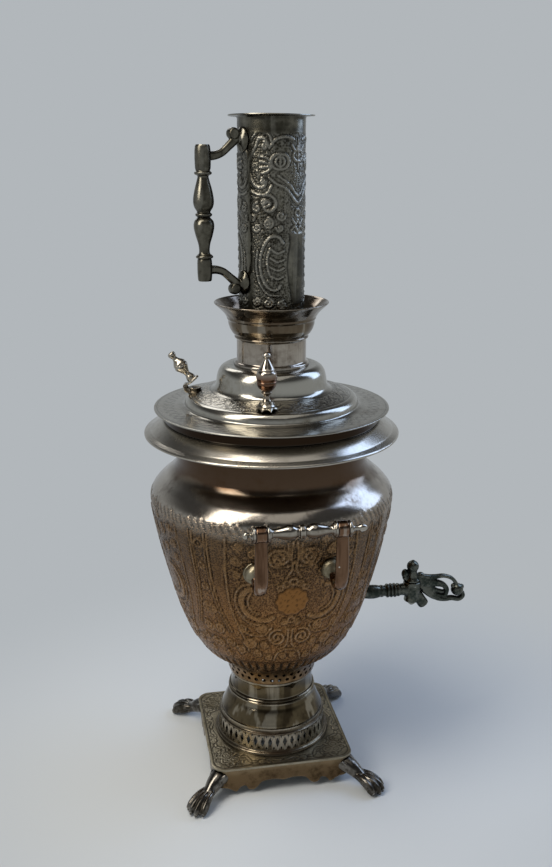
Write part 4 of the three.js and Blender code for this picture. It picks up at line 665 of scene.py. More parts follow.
def bodyShape():
    outer = bodyLevels(curveThrough(body["outline"], 24))
    columns = body["columns"]
    angle = np.arange(columns) * fullTurn / columns
    eighth = columns // 8 + 1
    start = int(round(0.75 * columns))                          # the front panel's middle, -90 degrees
    across = folded(angle, angle[start], 4, body["panelRadius"])
    few = np.linspace(0, body["panelRadius"] * math.pi / 4, eighth)
    u, z = np.meshgrid(few, outer[:, 1])
    relief, line = chase(u, z, panelStrokes)
    low, high = body["ornament"]
    inside = smooth(z, low - 3, low + 3) * (1 - smooth(z, high - 3, high))
    level, radius = body["medallion"]
    away = np.hypot(u, z - level)
    turn = np.arctan2(z - level, u)
    lobed = radius * (1 + 0.05 * np.cos(10 * turn))
    disc = 1 - smooth(away, lobed - 1.2, lobed + 0.6)
    rim = np.exp(-((away - lobed) / 0.9) ** 2)
    petals = body["petalReach"] * np.abs(np.cos(body["petals"] / 2 * (turn - math.pi / 2)))
    flower = np.clip(1.2 - np.abs(away - petals) / 1.3, 0, 1) * (away < body["petalReach"] + 2.5)
    beads = np.exp(-((away - body["beadRing"]) / 0.9) ** 2) * smooth(np.cos(body["beads"] * turn), 0.1, 0.7)
    flower = np.maximum(flower, beads)
    relief = relief * (1 - disc) + disc * (0.75 + 0.25 * flower)
    veins = disc * np.exp(-((flower - 0.4) / 0.2) ** 2)
    line = line * (1 - disc) * (away > radius + 2) + 0.9 * rim + 0.8 * veins
    relief, line = relief * inside, line * inside
    leftEdge = np.interp(z, [192, 212, 232, 256, 304], [52.5, 59, 63, 63.5, 60.5])
    rightEdge = np.interp(z, [196, 218, 246, 276, 304], [62.5, 70.5, 75, 76, 75])
    plain = smooth(u, leftEdge, leftEdge + 1) * (1 - smooth(u, rightEdge - 1, rightEdge))
    plain *= smooth(z, 200, 206)                                # the plain strip between the panels
    relief, line = np.maximum(relief * (1 - plain), 0.2 * plain * inside), line * (1 - plain)
    spread = np.abs(across[None] - few[:, None]).argmin(0)      # each column's place in the eighth
    relief, line = relief[:, spread], line[:, spread]
    z = z[:, :1] + 0 * angle
    inside, disc, plain = inside[:, spread], (disc * inside)[:, spread], plain[:, spread]
    low, high = body["fringe"]
    leaf = 0.5 + 0.5 * np.cos(body["fringeLeaves"] * angle + (z - low) * 0.5 + 1.2 * np.sin(17 * angle))
    tip = high - 2.5 - 2.5 * np.sin(41 * angle) * np.sin(19 * angle + 1)
    fringe = smooth(z, low - 1, low + 1) * (1 - smooth(z, tip - 1.5, tip)) * 0.6
    low, high = body["flutes"]
    flute = 0.5 + 0.5 * np.cos(body["fluteCount"] * angle)
    fluted = smooth(z, low, low + 2) * (1 - smooth(z, high - 5 * flute, high + 1 - 5 * flute))
    relief = np.maximum(relief, np.maximum(fringe * smooth(leaf, 0.3, 0.8), fluted * smooth(flute, 0.3, 0.8)))
    line = np.maximum(line, np.maximum(fringe * smooth(leaf, 0.45, 0.1), fluted * smooth(flute, 0.4, 0.1)))
    line = np.maximum(line, np.exp(-((z - body["moulding"]) / 0.8) ** 2))
    ground = np.clip(inside * (1 - disc) * (1 - 0.35 * plain) + fringe + fluted, 0, 1)
    chance = np.random.default_rng(3).normal(0, 1, z.shape)
    push = body["raise"] * relief - body["groove"] * line
    push -= ground * (body["sunk"] * (1 - relief) + body["grain"] * chance)
    push *= smooth(z, 136, 141)
    slope = np.gradient(outer, axis=0)
    slope /= np.linalg.norm(slope, axis=1)[:, None]
    r = outer[:, :1] + push * slope[:, 1:]
    h = outer[:, 1:] - push * slope[:, :1]
    floor = body["floor"]
    lining = offsetIn(curveThrough(body["outline"], 1), body["wall"])[::-1]
    lining = lining[lining[:, 1] > floor + 4]
    rest = np.concatenate([lining, [(56, floor + 1.5), (body["floorHole"], floor + 1.5),
                                    (body["floorHole"], floor)]])
    return ornamented(around(r, h, angle), around(rest[:, :1], rest[:, 1:], angle),
                      relief=relief, line=line, ground=ground, bare=disc)


bodyMesh, bodyMarks = bodyShape()
piece("urn_body", bodyMesh, chasedBrass, "urn", ["body_shell"], bodyMarks, 60)
print("body made", len(bodyMesh[1]), "faces")

brim = {
    "profile": [(93.2, 379.2), (94.7, 379.2), (94.7, 387.2), (107.9, 387.2), (120.6, 378.2), (126.6, 375),
                (128, 374.6), (128.1, 376), (127.2, 377), (121.9, 379.4), (120.9, 380.4), (109.4, 388.6),
                (107.6, 389), (93.2, 389)],
    "corner": 0.7,
}
piece("urn_brim", lathe(softened(brim["profile"], brim["corner"], 3, True), 160), brimPlate, "urn",
      ["brim"])

# Pedestal

pedestal = {
    "ringWall": [(61.8, 33.6), (61.8, 35), (60.9, 36.2), (59.2, 36.9), (58.6, 38.2), (57.4, 55), (57.6, 56.4),
                 (55.8, 57), (55.2, 58.2), (55.2, 61)],
    "ringWallThickness": 1.4,
    "lozenges": 46, "lozengeSize": (3.9, 12.2), "lozengeLevel": 41.6,
    "triangleSize": (2.9, 2.8), "triangleLevels": (40, 55.0),
    "bell": [(54.4, 61.3), (54.6, 62.8), (53.4, 65.6), (51.6, 69.4), (48.6, 75.6), (46, 80), (45.2, 83.6)],
    "bead": [(43, 83.9), (45.6, 83.9), (46.8, 84.6), (47, 85.6), (46.5, 86.5), (45.8, 86.8), (46.3, 87.2),
             (46.5, 88), (46, 89), (45, 89.5), (43, 89.5)],
    "band": [(44, 89.8), (44.5, 90.4), (44.3, 91.4), (43.9, 92), (43.9, 104.6), (44.3, 105.2), (44.7, 106),
             (44.7, 108.6)],
    "gallery": [(46, 108.9), (46.6, 110), (47.4, 114), (49, 120), (51.6, 125.6), (54.6, 129.6), (56, 131.5)],
    "holes": 36, "holeRadius": 2.1, "holeLevels": (115.0, 121.2),
}


def wallRadius(line, level):
    p = np.asarray(line, float)
    return float(np.interp(level, p[:, 1], p[:, 0]))


def ringWall(line, wall, smoothIt, sides):
    line = curveThrough(line, 5) if smoothIt else softened(line, 0.5)
    return lathe(wallOf(line, wall), sides)


w, h = pedestal["lozengeSize"]
lozenge = [(0, 0), (w / 2, h * 0.45), (w / 2, h * 0.55), (0, h), (-w / 2, h * 0.55), (-w / 2, h * 0.45)]
tw, th = pedestal["triangleSize"]
lowTriangle = [(-tw / 2, 0), (tw / 2, 0), (0, th)]
highTriangle = [(-tw / 2, 0), (0, -th), (tw / 2, 0)]
count = pedestal["lozenges"]
ringRadius = wallRadius(pedestal["ringWall"], pedestal["lozengeLevel"] + h / 2)
pierced("pierced_foot_ring", ringWall(pedestal["ringWall"], pedestal["ringWallThickness"], False, 184), [
    (radialPrism(lozenge, ringRadius, pedestal["lozengeLevel"]), count, 0.0),
    (radialPrism(lowTriangle, ringRadius, pedestal["triangleLevels"][0]), count, 0.5),
    (radialPrism(highTriangle, ringRadius, pedestal["triangleLevels"][1]), count, 0.5),
], agedPlate, "urn", ["foot_ring"])
piece("pedestal_bell_dress", ringWall(pedestal["bell"], 1.3, True, 128), pedestalBrass, "urn",
      ["pedestal_bell"])
piece("pedestal_bead_dress", lathe(pedestal["bead"], 128), pedestalBrass, "urn",
      ["pedestal_bead"])
piece("pedestal_neck", lathe(wallOf(pedestal["band"], 1.3), 128), pedestalBrass, "urn",
      ["neck_band"])
holeAngles = np.arange(10) * fullTurn / 10
hole = np.stack([np.cos(holeAngles), np.sin(holeAngles)], 1) * pedestal["holeRadius"]
pierced("pierced_gallery", ringWall(pedestal["gallery"], 1.3, True, 144), [
    (radialPrism(hole, wallRadius(pedestal["gallery"], level), level), pedestal["holes"], number / 2)
    for number, level in enumerate(pedestal["holeLevels"])
], galleryBrass, "urn", ["neck_gallery"])
print("pedestal made")

# Base plate and its scalloped apron

base = {
    "half": 75, "corner": 14, "top": 33.3, "under": 30.7, "opening": 42, "ringEdge": 59.5, "bevel": 0.7,
    "columns": 512, "rings": 46,
    "apronHalf": 73, "apronCorner": 12, "apronTop": 30.4, "apronDepth": 26.2, "apronWall": 1.4, "raise": 0.1,
    "groove": 0.35,
    "apronEdge": [(0, 0.69), (0.14, 0.62), (0.3, 0.66), (0.38, 0.86), (0.44, 0.98), (0.5, 0.96), (0.56, 0.76),
                  (0.62, 0.8), (0.69, 1), (0.78, 0.86), (0.84, 0.79)],
}
cornerStrokes = [       # across the diagonal and out along it
    (ringLine(0, 84, 4.2), 0.7), (ringLine(5.6, 77, 4.0), 0.7), (ringLine(0, 84, 1.6), 0.6),
    (ringLine(5.6, 77, 1.5), 0.6), (flourish(0, 64, 90, 10, [0, 0]), 0.8),
    (flourish(1, 66, 40, 16, [-200, -500]), 0.8), (flourish(12, 70, -50, 26, [200, 300, 400]), 0.9),
    (flourish(14, 84, -60, 16, [200, 500]), 0.8), (flourish(10, 90, -40, 20, [-200, -400]), 0.8),
    (curl(20, 72, 4, 1.4, 0, 1), 0.7),
]
edgeStrokes = [         # along the side and out from the middle
    (flourish(2, 67, 20, 22, [-300, 200, 600]), 0.8), (curl(22, 68, 3.5, 1.3, 180, 1), 0.7),
    (flourish(28, 66, 30, 20, [-300, -100, 500]), 0.8), (flourish(44, 68, -30, 18, [300, -200]), 0.8),
]


def roundedSquare(angle, half, corner):
    # reach of a rounded square at each angle
    a = np.abs((angle + math.pi / 4) % (math.pi / 2) - math.pi / 4)
    reach = half / np.cos(a)
    flat = half - corner
    middle = math.hypot(flat, flat)
    turn = math.pi / 4 - a
    arc = middle * np.cos(turn) + np.sqrt(np.maximum(corner**2 - (middle * np.sin(turn)) ** 2, 0))
    return np.where(half * np.tan(a) > flat, arc, reach)


def plateShape():
    columns = base["columns"]
    angle = np.arange(columns) * fullTurn / columns
    outer = roundedSquare(angle, base["half"] - base["bevel"], base["corner"] - base["bevel"])
    share = np.concatenate([[0], np.linspace(0.02, 1, base["rings"])])[:, None]
    covered = base["ringEdge"]                                  # the ring's flange covers what lies nearer
    reach = covered + share * (outer - covered)
    reach[0] = base["opening"]
    x, y = np.abs(reach * np.cos(angle)), np.abs(reach * np.sin(angle))
    out, over = (x + y) / math.sqrt(2), np.abs(x - y) / math.sqrt(2)
    relief, line = chase(over, out, cornerStrokes)
    along, away = np.minimum(x, y), np.maximum(x, y)
    relief2, line2 = chase(along, away, edgeStrokes)
    border = (outer - reach) * np.cos(np.abs((angle + math.pi / 4) % (math.pi / 2) - math.pi / 4))
    frameLine = np.exp(-((border - 2.6) / 0.5) ** 2)
    relief, line = np.maximum(relief, relief2), np.maximum(np.maximum(line, line2), frameLine)
    fade = smooth(border, 2.5, 3.5) * smooth(reach, 63, 65)
    relief, line = relief * fade, np.maximum(line * fade, frameLine)
    level = base["top"] + base["raise"] * relief - base["groove"] * line
    edge = np.array([[0.45, 33.15], [base["bevel"], 32.6], [base["bevel"], 31.3], [0.3, base["under"]]])
    plain = np.concatenate([around(outer + edge[:, :1], edge[:, 1:], angle),
                            around(np.array([[base["opening"]]]), base["under"], angle)])
    return ornamented(around(reach, level, angle), plain, relief=relief, line=line, ground=0.4 * fade)


plateMesh, plateMarks = plateShape()
piece("base_plate_dress", plateMesh, baseBrass, "urn", ["base_plate"], plateMarks)


def apronShape():
    edge = curveThrough(base["apronEdge"], 5)
    half, corner = base["apronHalf"], base["apronCorner"]
    flat, wall = half - corner, base["apronWall"]
    across = np.concatenate([-edge[::-1][:-1, 0], edge[:, 0]]) * half
    drop = np.concatenate([edge[::-1][:-1, 1], edge[:, 1]])
    keep = np.abs(across) < flat
    across, drop = across[keep], drop[keep]
    stations = []
    for side in range(4):
        turn = side * math.pi / 2
        for a, d in zip(across, drop):
            stations.append((turn, flat, a, 0, d))
        for s in np.linspace(0, 1, 7):
            stations.append((turn, flat, flat, s * math.pi / 2, drop[-1]))
    rings = []
    for turn, mx, my, bend, d in stations:
        turnCos, turnSin = math.cos(turn), math.sin(turn)
        bottom = base["apronTop"] - d * base["apronDepth"]
        ring = []
        for inset, z, s in [(0, 1, 0), (0, 0.7, 0.3), (0, 0.4, 0.6), (0, 0.12, 0.9), (0.1, 0.0, 1),
                            (wall / 2, -0.02, 1), (wall, 0.0, 1), (wall, 0.5, 1), (wall, 1.0, 1)]:
            height = bottom + z * (base["apronTop"] - bottom)
            belly = 0.5 * math.sin(math.pi * s) if inset < wall else 0      # between top and edge
            out = corner - inset - 0.45 + belly
            x, y = mx + out * math.cos(bend), my + out * math.sin(bend)
            ring.append((x * turnCos - y * turnSin, x * turnSin + y * turnCos, height))
        rings.append(ring)
    rings = np.array(rings)
    return rings.reshape(-1, 3), gridFaces(*rings.shape[:2], True)[:, [0, 3, 2, 1]].tolist()


piece("scalloped_apron", apronShape(), agedCopper, "urn", ["base_apron"], None, 30)

# Paw feet

paw = {     # toes and claws: mm back from the tip, level, half width, half height
    "reach": 141, "length": 56, "root": 85, "grain": 0.6, "toePitch": 6.6, "clawPitch": 6.4,
    "toe": [(29, 15.2, 1.3, 1.4), (23, 14.9, 2.3, 2.4), (16, 13.2, 3.0, 3.9), (9.5, 10.0, 3.2, 4.9),
            (4.6, 6.6, 3.0, 4.6), (1.0, 3.2, 2.0, 2.8)],
    "claw": [(6, 4.6, 1.6, 2.2), (2.4, 3.2, 1.4, 1.9), (0.2, 1.2, 0.8, 1.0)],
    "veins": [(0.2, 29.7, 8.4, 3), (0.28, 28.0, 7.4, 3.6), (0.36, 25.2, 5.8, 3.6), (0.45, 21.4, 4.2, 3)],
}


def pawShape(degrees):
    a = math.radians(degrees)
    out, side = np.array([math.cos(a), math.sin(a), 0]), np.array([-math.sin(a), math.cos(a), 0])
    root, length = paw["root"], paw["length"]

    def station(along, level, halfWidth, halfHeight):
        return [*(out * (root + length * along))[:2], level, halfWidth, halfHeight]

    leg = sweep([
        station(0.05, 21.0, 10.2, 8.6), station(0.2, 20.8, 9.8, 9.0), station(0.3, 19.2, 8.6, 8.4),
        station(0.38, 17.0, 8.0, 7.6), station(0.46, 14.4, 6.8, 6.7), station(0.56, 11.6, 6.4, 6.2),
        station(0.66, 9.4, 8.2, 7.0), station(0.77, 7.6, 10.4, 7.2), station(0.87, 5.6, 9.8, 5.4),
        station(0.93, 4.2, 7.8, 4.2)], side, 28)
    parts = [leg]
    for pitch, setBack in ((-1.5, 4.6), (-0.5, 0.4), (0.5, 0.4), (1.5, 4.6)):
        tip = paw["reach"] - setBack
        toe = []
        for back, level, wide, tall in paw["toe"]:
            toe.append([*(out * (tip - back) + side * pitch * paw["toePitch"] * (1 - back / 46))[:2], level,
                        wide, tall])
        parts.append(sweep(toe, side, 14))
        claw = [[*(out * (tip - back) + side * pitch * paw["clawPitch"])[:2], level, wide, tall]
                for back, level, wide, tall in paw["claw"]]
        parts.append(sweep(claw, side, 10))
    for turn in (-1, -0.5, 0, 0.5, 1):          # veins of the leaf over the corner
        rib = [[*(out * (root + length * s) + side * turn * wide)[:2], z - abs(turn) * drop, 0.9, 0.9]
               for s, z, wide, drop in paw["veins"]]
        parts.append(sweep(rib, side, 8))
    return joined(*parts)


def flattenAt(thing, low, high=None):
    # nothing goes under the floor, and nothing over the plate's underside
    count = len(thing.data.vertices)
    co = np.empty(count * 3, np.float32)
    thing.data.vertices.foreach_get("co", co)
    co = co.reshape(-1, 3)
    co[:, 2] = np.clip(co[:, 2], low / 1000, 1 if high is None else high / 1000)
    thing.data.vertices.foreach_set("co", co.ravel())
    thing.data.update()


for place, degrees in {"front_right": -45, "back_right": 45, "back_left": 135, "front_left": -135}.items():
    foot = fused(makeObject(f"paw_{place}", pawShape(degrees)), paw["grain"], 1)
    flattenAt(foot, 0.0, 30.2)
    finishPiece(foot, wornBronze, "urn", [f"paw_foot_{place}"], 60)
print("base and feet made")

# Lid

lidSize = {
    "under": [(106.6, 389.3), (107.7, 389.3), (108, 389.6), (108, 390.6), (108, 393), (108, 396.4),
              (108, 398.6), (108.2, 399.5), (108.8, 400), (110.5, 400), (115.5, 400), (117, 400)],
    "outline": [(117.6, 400.4), (117.4, 401.2), (116, 401.5), (112, 401.6), (104, 401.8), (95, 402.2),
                (89.6, 402.8), (87.2, 404), (86.6, 406.4), (85.4, 409.4), (83, 411.8), (80, 412.8),
                (78.6, 413), (74, 414.4), (68, 416.2), (62, 418), (59, 419.1), (56.8, 421), (55.4, 425),
                (54.4, 431), (52.8, 436.6), (50, 440.6), (46, 442.7), (42, 443), (32.8, 443)],
    "sheet": 1.3, "spigot": [(90.1, 400), (90.1, 386), (91.5, 386), (91.5, 399.4), (92, 400), (106.6, 400)],
    "columns": 352, "waves": 22, "bandFrom": 61.5, "bandTo": 78, "bandMiddle": 70, "ventRadius": 32.8,
    "skirt": 109.5,
    "raise": 0.16, "groove": 0.16, "flangeMiddle": 103, "flangeWave": 4.5, "flangeWaves": 30,
}
waveStrokes = [     # one repeat of the running wave: mm round and mm up the band
    (flourish(-10, 4, 20, 24, [60, 120, -500, -900]), 0.8), (curl(4, 9, 3.4, 1.3, 200, -1), 0.7),
    (flourish(2, 2, 30, 12, [-200, -400]), 0.7), (flourish(-8, 12, -30, 10, [300, 300]), 0.6),
]


def lidShape():
    outline = curveThrough(lidSize["outline"], 5)
    columns = lidSize["columns"]
    angle = np.arange(columns) * fullTurn / columns
    r, z = outline[:, :1] + 0 * angle, outline[:, 1:] + 0 * angle
    low, high, radius = lidSize["bandFrom"], lidSize["bandTo"], lidSize["bandMiddle"]
    repeat = fullTurn * radius / lidSize["waves"]
    along = (angle * radius) % repeat - repeat / 2 + 0 * r
    relief, line = chase(along, high - r, waveStrokes)
    band = smooth(r, low, low + 1) * (1 - smooth(r, high - 1, high))
    relief, line = relief * band, line * band
    for edge in (low, high + 0.4):
        line = np.maximum(line, 0.8 * np.exp(-((r - edge) / 0.5) ** 2))
    flange = smooth(r, 93, 95) * (1 - smooth(r, 112, 114))
    wave = lidSize["flangeWave"] * np.sin(lidSize["flangeWaves"] * angle)
    fromMiddle = r - lidSize["flangeMiddle"]
    scroll = sum(np.exp(-((fromMiddle + way * wave) / 0.9) ** 2) for way in (-1, 1))    # two waves that cross
    line = np.maximum(line, 0.55 * flange * np.clip(scroll, 0, 1))
    line = np.maximum(line, 0.6 * np.exp(-((r - 114.6) / 0.5) ** 2))
    ground = np.clip(0.7 * band + 0.12 * flange, 0, 1)
    z = z + lidSize["raise"] * relief - lidSize["groove"] * line
    inside = offsetIn(lidSize["outline"][9:], lidSize["sheet"])[::-1]
    inside = inside[inside[:, 1] > 401.5]
    inside[0, 0] = lidSize["ventRadius"]
    rest = np.concatenate([inside, [(84.6, 400)], lidSize["spigot"], lidSize["under"]])
    shape, marks = ornamented(around(r, z, angle), around(rest[:, :1], rest[:, 1:], angle),
                              relief=relief, line=line, ground=ground)
    skirt = np.repeat(rest[:, 0] < lidSize["skirt"], columns)   # painted shade and reflection: the skirt under the flange is darker
    marks["bare"] = np.concatenate([0 * ground.ravel(), skirt])
    return shape, marks


lidMesh, lidMarks = lidShape()
lidPlate = metalFinish("lidPlate", {      # the lid's silver plate, chased on its band, with painted shade in brown on its skirt
    "bare": "#30241A", "metal": "#ABA79D", "film": "#827A6B", "dirtAndShadeColour": "#221B13", "bright": "#D6D0C4",
    "raised": "#BDB5A5", "rough": (0.17, 0.3), "chased": 0.5, "hollow": 8, "grimeAndShade": 0.8, "wearAndHighlight": 0.4,
    "filmLow": 0.46, "filmHigh": 0.78, "groundRough": 0.08, "dents": 0.2, "ridged": 0.15, "pitted": 0.3})
piece("lid_dress", lidMesh, lidPlate, "lid_group", ["lid"], lidMarks, 50)

knob = {
    "circle": 71, "angles": {"front": -104, "back": 76}, "start": 418.6, "height": 50.1, "petals": 8,
    "shares": [(8.5, 0), (7, 0.03), (4.4, 0.08), (3, 0.15), (3.2, 0.2), (5, 0.235), (5.2, 0.255), (4.8, 0.27),
               (6.8, 0.31), (8.4, 0.36), (9.2, 0.41), (9.1, 0.432), (9.7, 0.45), (9.2, 0.468), (9.8, 0.52),
               (9.5, 0.58), (8.7, 0.63), (7.3, 0.66), (8, 0.68), (7.2, 0.7), (5.2, 0.77), (3.2, 0.84),
               (2.4, 0.872), (2.6, 0.888), (3.6, 0.92), (3.8, 0.945), (2.9, 0.98), (0.6, 1)],
}


def petal(reach, width, rise, thickness, root=2.0):
    # a small pointed leaf along +X, arched in the middle
    rows = []
    for s in np.linspace(0, 1, 6):
        half = width * math.sin(math.pi * min(0.12 + 0.88 * s, 1)) ** 0.8 * 0.5 + 0.05
        x, z = root + (reach - root) * s, rise * math.sin(math.pi * s * 0.9) - rise * 0.9 * s * s
        rows.append([(x, -half, z), (x, 0, z + thickness), (x, half, z), (x, 0, z - thickness * 0.4)])
    points = np.array(rows).reshape(-1, 3)
    faces = gridFaces(6, 4, False).tolist() + [[0, 3, 2, 1], [20, 21, 22, 23]]
    return points, faces


knobPlate = metalFinish("knobPlate", {      # silvered knob, rubbed to copper round its waist
    "levels": [(418, "#A8A092"), (432, "#A09585"), (435, "#6A4C38"), (444, "#704F39"), (450, "#A89E90"),
               (469, "#B2ABA0")], "sway": 0.004, "metal": "#A8A092", "film": "#5E4A3A",
    "dirtAndShadeColour": "#140E09", "bright": "#DAD4C8", "rough": (0.09, 0.2), "filmLow": 0.5, "filmHigh": 0.8,
    "hollow": 4})
for place, degrees in knob["angles"].items():
    a = math.radians(degrees)
    at = np.array([knob["circle"] * math.cos(a), knob["circle"] * math.sin(a), 0])
    line = np.concatenate([[(0, 0)], scaledCurve(knob["shares"], 1, knob["height"]), [(0, knob["height"])]])
    piece(f"lid_knob_{place}_dress", turned(line, at + (0, 0, knob["start"]), (0, 0, 1), 40), knobPlate,
          "lid_group", [f"lid_knob_{place}"], None, 50)
    low = moved(petal(11.6, 6.6, 2.6, 1.0, 1.5), at + (0, 0, 415.9))
    seat = moved(turned([(0, 0), (8.6, 0), (8.8, 1.2), (7.4, 2.6), (0, 2.7)], (0, 0, 0), (0, 0, 1), 32),
                 at + (0, 0, 415.5))
    ringOf(f"knob_leaves_{place}", low, knob["petals"], 0.25, at, agedPlate, "lid_group",
           [f"knob_rosette_{place}"])
    piece(f"knob_seat_{place}", seat, agedPlate, "lid_group")
    high = moved(petal(8.2, 4.4, 4.2, 0.8, 2.4), at + (0, 0, 419.2))
    ringOf(f"knob_upper_leaves_{place}", high, knob["petals"], 0.75, at, agedPlate, "lid_group")

# Steam vent: seat, pin and the leaning cap

vent = {"circle": 77, "angle": 167, "seatTop": 417.91, "hinge": 86.3, "hingeLevel": 419.41, "lean": 39,
        "petals": 8, "finialHeight": 34.5,
        "finial": [(4.8, 0), (4.5, 0.1), (3.0, 0.2), (3.2, 0.26), (5.0, 0.36), (6.8, 0.45), (7.2, 0.5),
                   (6.5, 0.56), (6.8, 0.58), (5.4, 0.65), (3.1, 0.74), (2.6, 0.82), (3.5, 0.86), (4.0, 0.92),
                   (3.2, 0.98), (0.5, 1)]}
hingeX, hingeZ = vent["hinge"] - vent["circle"], vent["hingeLevel"]


def atVent(shape, lean=False):
    p = shape[0].copy()
    if lean:
        a = math.radians(vent["lean"])
        x, z = p[:, 0] - hingeX, p[:, 2] - hingeZ
        p[:, 0] = hingeX + x * math.cos(a) + z * math.sin(a)
        p[:, 2] = hingeZ - x * math.sin(a) + z * math.cos(a)
    return turnedAbout((p + (vent["circle"], 0, 0), shape[1]), vent["angle"])


def acrossRod(x, z, low, high, radius, sides=20):
    return turned(softened([(0, 0), (radius, 0), (radius, high - low), (0, high - low)], 0.25),
                  (x, low, z), (0, 1, 0), sides)


seatLine = softened([(3, 408.5), (7.2, 411), (7.2, 413.6), (6.4, 414.4), (6.0, 416), (6.6, 417), (6.5, 417.9),
                     (3, 417.9)], 0.4, 2, True)
seatParts = [turned(np.concatenate([seatLine, [(3, 408.5)]]), (0, 0, 0), (0, 0, 1), 36)]
for side in (-1, 1):
    middle = side * 3.8
    seatParts.append(acrossRod(hingeX, hingeZ, middle - 1, middle + 1, 2.2))
    seatParts.append(sweep([[hingeX - 4.5, middle, 414.5, 1, 2.4], [hingeX - 1, middle, 415.6, 1, 2.2],
                            [hingeX, middle, hingeZ - 0.5, 1, 1.6]], (0, 1, 0), 10))
seat = makeObject("vent_seat_dress", atVent(joined(*seatParts)))
finishPiece(seat, agedPlate, "lid_group", ["vent_seat"])
underCap = vent["seatTop"] + 0.3


def scallop(points):
    a = np.arctan2(points[:, 1], points[:, 0])
    r = np.hypot(points[:, 0], points[:, 1])
    grow = 1 + 0.07 * np.cos(vent["petals"] * a) * np.clip(r / 6, 0, 1)
    return points * np.stack([grow, grow, np.ones_like(grow)], 1)


finialLine = np.concatenate([[(0, 0)], scaledCurve(vent["finial"], 1, vent["finialHeight"]),
                             [(0, vent["finialHeight"])]])
capParts = [
    turned([(0, 0), (6.2, 0), (6.7, 0.5), (6.7, 1.6), (6.0, 2.3), (4.4, 2.8), (0, 3)], (0, 0, underCap),
           (0, 0, 1), 48, scallop),
    turned(finialLine, (0, 0, underCap + 2), (0, 0, 1), 32),
    acrossRod(hingeX, hingeZ, -2.5, 2.5, 2.2),
    sweep([[3, 0, underCap + 1.2, 2.4, 1.2], [6.5, 0, underCap + 1.3, 2.3, 1.2],
           [hingeX, 0, hingeZ, 2.2, 1.4]], (0, 1, 0), 12),
]
piece("vent_cap_dress", atVent(joined(*capParts), True), platedBrass, "vent_flap",
      ["vent_cap"], None, 45)
print("lid made")

# Teapot crown

crown = {
    "outline": [(37, 443.3), (37, 445), (36.2, 446), (34.6, 446.8), (34.3, 448), (34.3, 468.6), (35, 469.4),
                (36.4, 470), (36.6, 471.2), (35.8, 472), (36.6, 473), (38.8, 475.2), (41, 479), (42.4, 483.6),
                (42.6, 487.4), (43.8, 488.6), (44, 490), (44.4, 491.2), (47, 495), (51, 499), (54.6, 502.2),
                (55.8, 503.4), (56.3, 504.2), (55.8, 504.9), (54.9, 504.7)],
    "inside": [(53.6, 503.2), (49.6, 499.4), (45.6, 495.4), (42.4, 490), (41, 484), (39.4, 479),
               (36.4, 475.4), (32.9, 472.8), (32.9, 443.3)],
}
crownProfile = np.concatenate([softened(crown["outline"], 0.8), curveThrough(crown["inside"][:-2], 4),
                               crown["inside"][-2:]])
crownPlate = metalFinish("crownPlate", {      # the crown's plate, worn through to copper on the cup
    "levels": [(443, "#B5ACA0"), (468, "#A3988A"), (473, "#70634F"), (498, "#665A4C"), (505, "#857B6E")],
    "sway": 0.004, "metal": "#9A8F80", "film": "#5A4A3B", "dirtAndShadeColour": "#17110B", "bright": "#CFC6B8",
    "rough": (0.12, 0.26), "filmLow": 0.46, "filmHigh": 0.76, "hollow": 9, "grimeAndShade": 0.8, "wearAndHighlight": 0.4,
    "upright": True, "streak": 0.5, "run": 11})
piece("crown_dress", lathe(crownProfile, 144), crownPlate, "crown", ["teapot_crown"], None,
      40)

# Chimney and its handle

